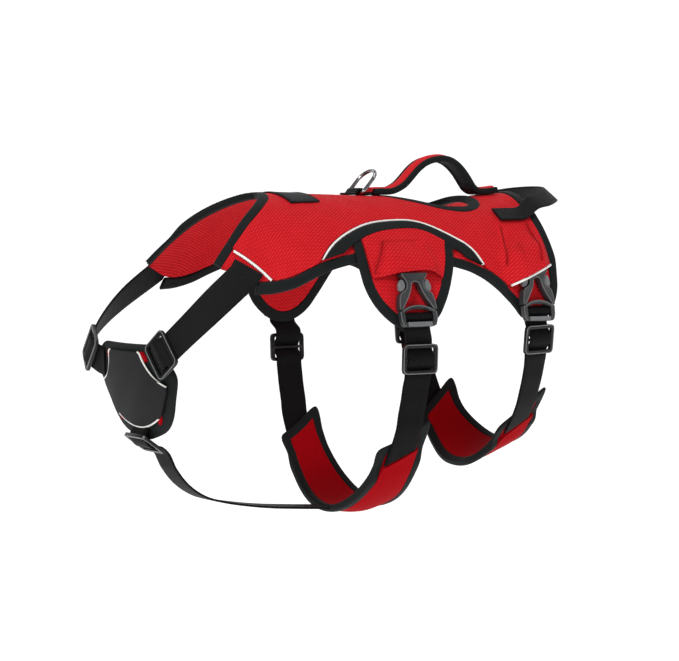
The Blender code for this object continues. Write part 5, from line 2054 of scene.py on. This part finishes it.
@dataclass
class Chest:
    """The chest pad, its smooth cover and the cover's piping."""

    finishes: Finishes
    top: tuple[float, float, float] = (0.0, -213.5, -110.0)
    bend: float = 0.0015
    cover_top: float = 5.3
    lining_low: float = 3.1
    lining_thick: float = 1.5
    mouth: Outline = (
        (23.0, 5.8), (25, 7), (26.5, 11), (29.5, 17), (33.5, 22.2), (38, 26.5), (44, 30), (51, 32.8),
    )
    foot: Outline = ((-32, 59.2), (-22, 63.6), (-14, 66), (0, 67.6), (14, 66), (22, 63.6), (32, 59.2))
    lining_corners: Sequence[Outline] = (
        ((24.6, 5.6), (28.6, 6.4), (31.2, 9.6), (31.6, 13.2), (29.4, 14.4), (26.6, 9.6)),
        ((31.4, 56.6), (34.6, 56.2), (34.0, 61.6), (30.2, 65.0), (28.6, 62.2)),
    )

    lean: tuple[float, float] = (0.24, 0.97)
    swell_middle: float = 36.0
    swell_half: tuple[float, float] = (52.0, 34.0)

    def __post_init__(self) -> None:
        """Works out the pad's own directions."""
        back, fall = self.lean
        self.down = Vector((0, back, -fall)).normalized()
        self.out = Vector((0, -fall, -back)).normalized()

    def place(self, x: float, t: float, lift: float) -> Vector:
        """A point of the pad: x across, t down from its top, lift out to the front."""
        return Vector(self.top) + Vector((x, 0, 0)) + self.down * t + self.out * (lift - self.bend * x * x)

    def soft_copy(self, node: str, name: str, edge: float, crown: float) -> Piece:
        """A softened copy of a layer of the pad, a little crowned, with its own map.

        Args:
            node: The layer's node.
            name: The piece's name.
            edge: How much its edges are rounded.
            crown: How far its middle swells.

        Returns:
            The copy.
        """
        shape = weld(node)
        round_edges(shape, SHARP, edge)
        obj = subdivide(from_shape(name, shape, None), SOFT_LEVELS)
        uv = obj.data.uv_layers.new(name="cloth")
        top, (wide, tall) = Vector(self.top), self.swell_half
        for vert in obj.data.vertices:
            off = vert.co - top
            x, t = off.x, off.dot(self.down)
            share = max(0.0, 1 - (x / wide) ** 2) * max(0.0, 1 - ((t - self.swell_middle) / tall) ** 2)
            fold = 0.5 * math.sin(x / 9 + t / 7) * share
            vert.co = (vert.co + self.out * (crown * share + fold)) * MM
        for loop in obj.data.loops:
            off = obj.data.vertices[loop.vertex_index].co / MM - top
            uv.data[loop.index].uv = (off.x * MM, off.dot(self.down) * MM)
        obj.data.shade_smooth()
        return obj

    def piping(self, name: str, line: Outline, radius: float = 0.75, sides: int = 10,
               step: float = 1.5) -> None:
        """A round pale edge along a line of (x, t) on the cover.

        Args:
            name: The piece's name.
            line: The points of its path.
            radius: Half its thickness.
            sides: The number of flats round it.
            step: The distance between its rings.
        """
        points = np.array([self.place(x, t, self.cover_top - 0.3)[:] for x, t in line])
        fine = Rails(np.repeat(points[:, None, :], 4, axis=1)).refined(step).sections[:, 0]
        shape = bmesh.new()
        uv = shape.loops.layers.uv.new("cloth")
        rings = []
        for k, point in enumerate(fine):
            way = Vector(fine[min(k + 1, len(fine) - 1)] - fine[max(k - 1, 0)]).normalized()
            side = way.cross(self.out).normalized()
            up = side.cross(way)
            rings.append([
                shape.verts.new((Vector(point) + (side * math.cos(a) + up * math.sin(a)) * radius) * MM)
                for a in np.linspace(0, FULL_TURN, sides, endpoint=False)])
        for k, i, face in bridge(shape, rings):
            for loop, at in zip(face.loops, (k, k, k + 1, k + 1) if i >= 0 else ()):
                loop[uv].uv = (at * step * MM, i * 0.6 * MM)
        bmesh.ops.recalc_face_normals(shape, faces=shape.faces)
        finish_piece(dress(from_shape(name, shape, SHARP), self.finishes.piping))

    def build(self) -> None:
        """Builds and dresses the pad."""
        base = dress(self.soft_copy("chest_base", "chest_base_cloth", 0.9, 0.0), self.finishes.tape)
        finish_piece(base, ["chest_base"])
        cover = dress(self.soft_copy("chest_cover", "chest_cover_cloth", 0.6, 1.2), self.finishes.cover)
        finish_piece(cover, ["chest_cover"])
        for side, sign in SIDES:
            self.piping("chest_mouth_piping_" + side, [(sign * x, t) for x, t in self.mouth])
        self.piping("chest_foot_piping", self.foot)
        self.slivers()

    def slivers(self) -> None:
        """The corners of red lining that show beside the mouths and at the foot."""
        shape = bmesh.new()
        uv = shape.loops.layers.uv.new("cloth")
        for sign in (1, -1):
            for outline in self.lining_corners:
                low = [shape.verts.new(self.place(sign * x, t, self.lining_low) * MM) for x, t in outline]
                mid = sum((v.co for v in low), Vector()) / len(low)
                top = [shape.verts.new(v.co.lerp(mid, 0.15) + self.out * self.lining_thick * MM) for v in low]
                shape.faces.new(low)
                shape.faces.new(top)
                for k in range(len(low)):
                    n = (k + 1) % len(low)
                    shape.faces.new((low[k], low[n], top[n], top[k]))
        for face in shape.faces:
            for loop in face.loops:
                loop[uv].uv = loop.vert.co.xz
        bmesh.ops.recalc_face_normals(shape, faces=shape.faces)
        finish_piece(dress(from_shape("chest_lining_corners", shape), self.finishes.pad_cloth))


@dataclass
class Studio:
    """The pale floor, the soft lights and the camera at the photograph's angle."""

    azimuth: float = 57.0
    elevation: float = 3.0
    distance: float = 1900.0
    scale: float = 1.215
    target: tuple[float, float, float] = (0.0, -20.0, -107.0)
    target_pixel: tuple[float, float] = (335.0, 331.0)
    floor: float = -0.40
    glow: float = 0.62
    surround: float = 0.16
    lamps: Sequence[tuple[str, tuple[float, float, float], float, float]] = (
        ("key", (0.95, -1.65, 1.35), 0.6, 30.0), ("fill", (1.9, -0.2, 0.3), 1.0, 5.5),
        ("top", (0.1, 0.2, 1.7), 1.0, 9.0), ("rear", (1.2, 1.8, 0.7), 0.8, 6.0),
    )

    def build(self) -> None:
        """Makes them all."""
        self.backdrop()
        self.lights()
        self.camera()

    def backdrop(self) -> None:
        """A floor that sweeps up behind the harness, seen from the camera, and a dim surround."""
        away = -self.back()
        away.z = 0
        away.normalize()
        side = Vector((-away.y, away.x, 0))
        start, turn, radius, top, half, steps = -3.0, 1.6, 1.2, 3.5, 4.0, 12
        line = [(start, 0.0), (turn, 0.0)]
        for k in range(1, steps + 1):
            a = math.radians(90 * k / steps)
            line.append((turn + radius * math.sin(a), radius * (1 - math.cos(a))))
        line.append((turn + radius, top))
        shape = bmesh.new()
        rows = [[shape.verts.new(away * d + side * w + Vector((0, 0, self.floor + h))) for w in (-half, half)]
                for d, h in line]
        for (a, b), (c, d) in zip(rows, rows[1:]):
            shape.faces.new((a, b, d, c))
        bmesh.ops.recalc_face_normals(shape, faces=shape.faces)
        floor = from_shape("floor", shape, 60)
        board = Board("pale_floor")
        board.set(Base_Color=(0.80, 0.80, 0.80, 1.0), Roughness=0.9, Specular_IOR_Level=0.0,
                  Emission_Color=(1.0, 1.0, 1.0, 1.0), Emission_Strength=self.glow)
        dress(floor, board.material)
        world = bpy.data.worlds.new("dim_surround")
        world.use_nodes = True
        shader = world.node_tree.nodes["Background"]
        shader.inputs["Color"].default_value = (1.0, 1.0, 1.0, 1.0)
        shader.inputs["Strength"].default_value = self.surround
        bpy.context.scene.world = world

    def lights(self) -> None:
        """A large soft key from the upper left, a top light and a light from behind."""
        centre = Vector(self.target) * MM
        for name, place, size, power in self.lamps:
            lamp = bpy.data.lights.new(name, "AREA")
            lamp.shape = "DISK"
            lamp.size = size
            lamp.energy = power
            obj = bpy.data.objects.new(name, lamp)
            obj.location = place
            obj.rotation_euler = (centre - Vector(place)).to_track_quat("-Z", "Y").to_euler()
            bpy.context.scene.collection.objects.link(obj)

    def back(self) -> Vector:
        """The way from the harness to the camera."""
        a, e = math.radians(self.azimuth), math.radians(self.elevation)
        return Vector((math.sin(a) * math.cos(e), -math.cos(a) * math.cos(e), math.sin(e)))

    def camera(self) -> None:
        """The camera at the photograph's angle, with its framing in the shift."""
        back = self.back()
        right = Vector((math.cos(math.radians(self.azimuth)), math.sin(math.radians(self.azimuth)), 0))
        turn = Matrix((right, back.cross(right), back)).transposed().to_4x4()
        data = bpy.data.cameras.new("camera")
        data.lens = self.scale * self.distance * SENSOR_WIDTH / PHOTO_WIDTH
        data.clip_end = 100
        data.shift_x = (PHOTO_WIDTH / 2 - self.target_pixel[0]) / PHOTO_WIDTH
        data.shift_y = -(PHOTO_HEIGHT / 2 - self.target_pixel[1]) / PHOTO_WIDTH
        camera = bpy.data.objects.new("camera", data)
        turn.translation = (Vector(self.target) + back * self.distance) * MM
        camera.matrix_world = turn
        bpy.context.scene.collection.objects.link(camera)
        bpy.context.scene.camera = camera
        bpy.context.scene.view_settings.view_transform = "Standard"


def main() -> None:
    """Builds the harness, piece by piece, and then the studio."""
    logging.basicConfig(level=logging.INFO, format="%(name)s: %(message)s")
    finishes, seams = Finishes(), Seams()
    Saddle(finishes, seams).build()
    Flaps(finishes, seams).build()
    HandleAndRing(finishes, seams).build()
    Hardware(finishes).build()
    Straps(finishes).build()
    BellyPads(finishes, seams).build()
    Chest(finishes).build()
    seams.build(finishes)
    Studio().build()


if __name__ == "__main__":
    main()
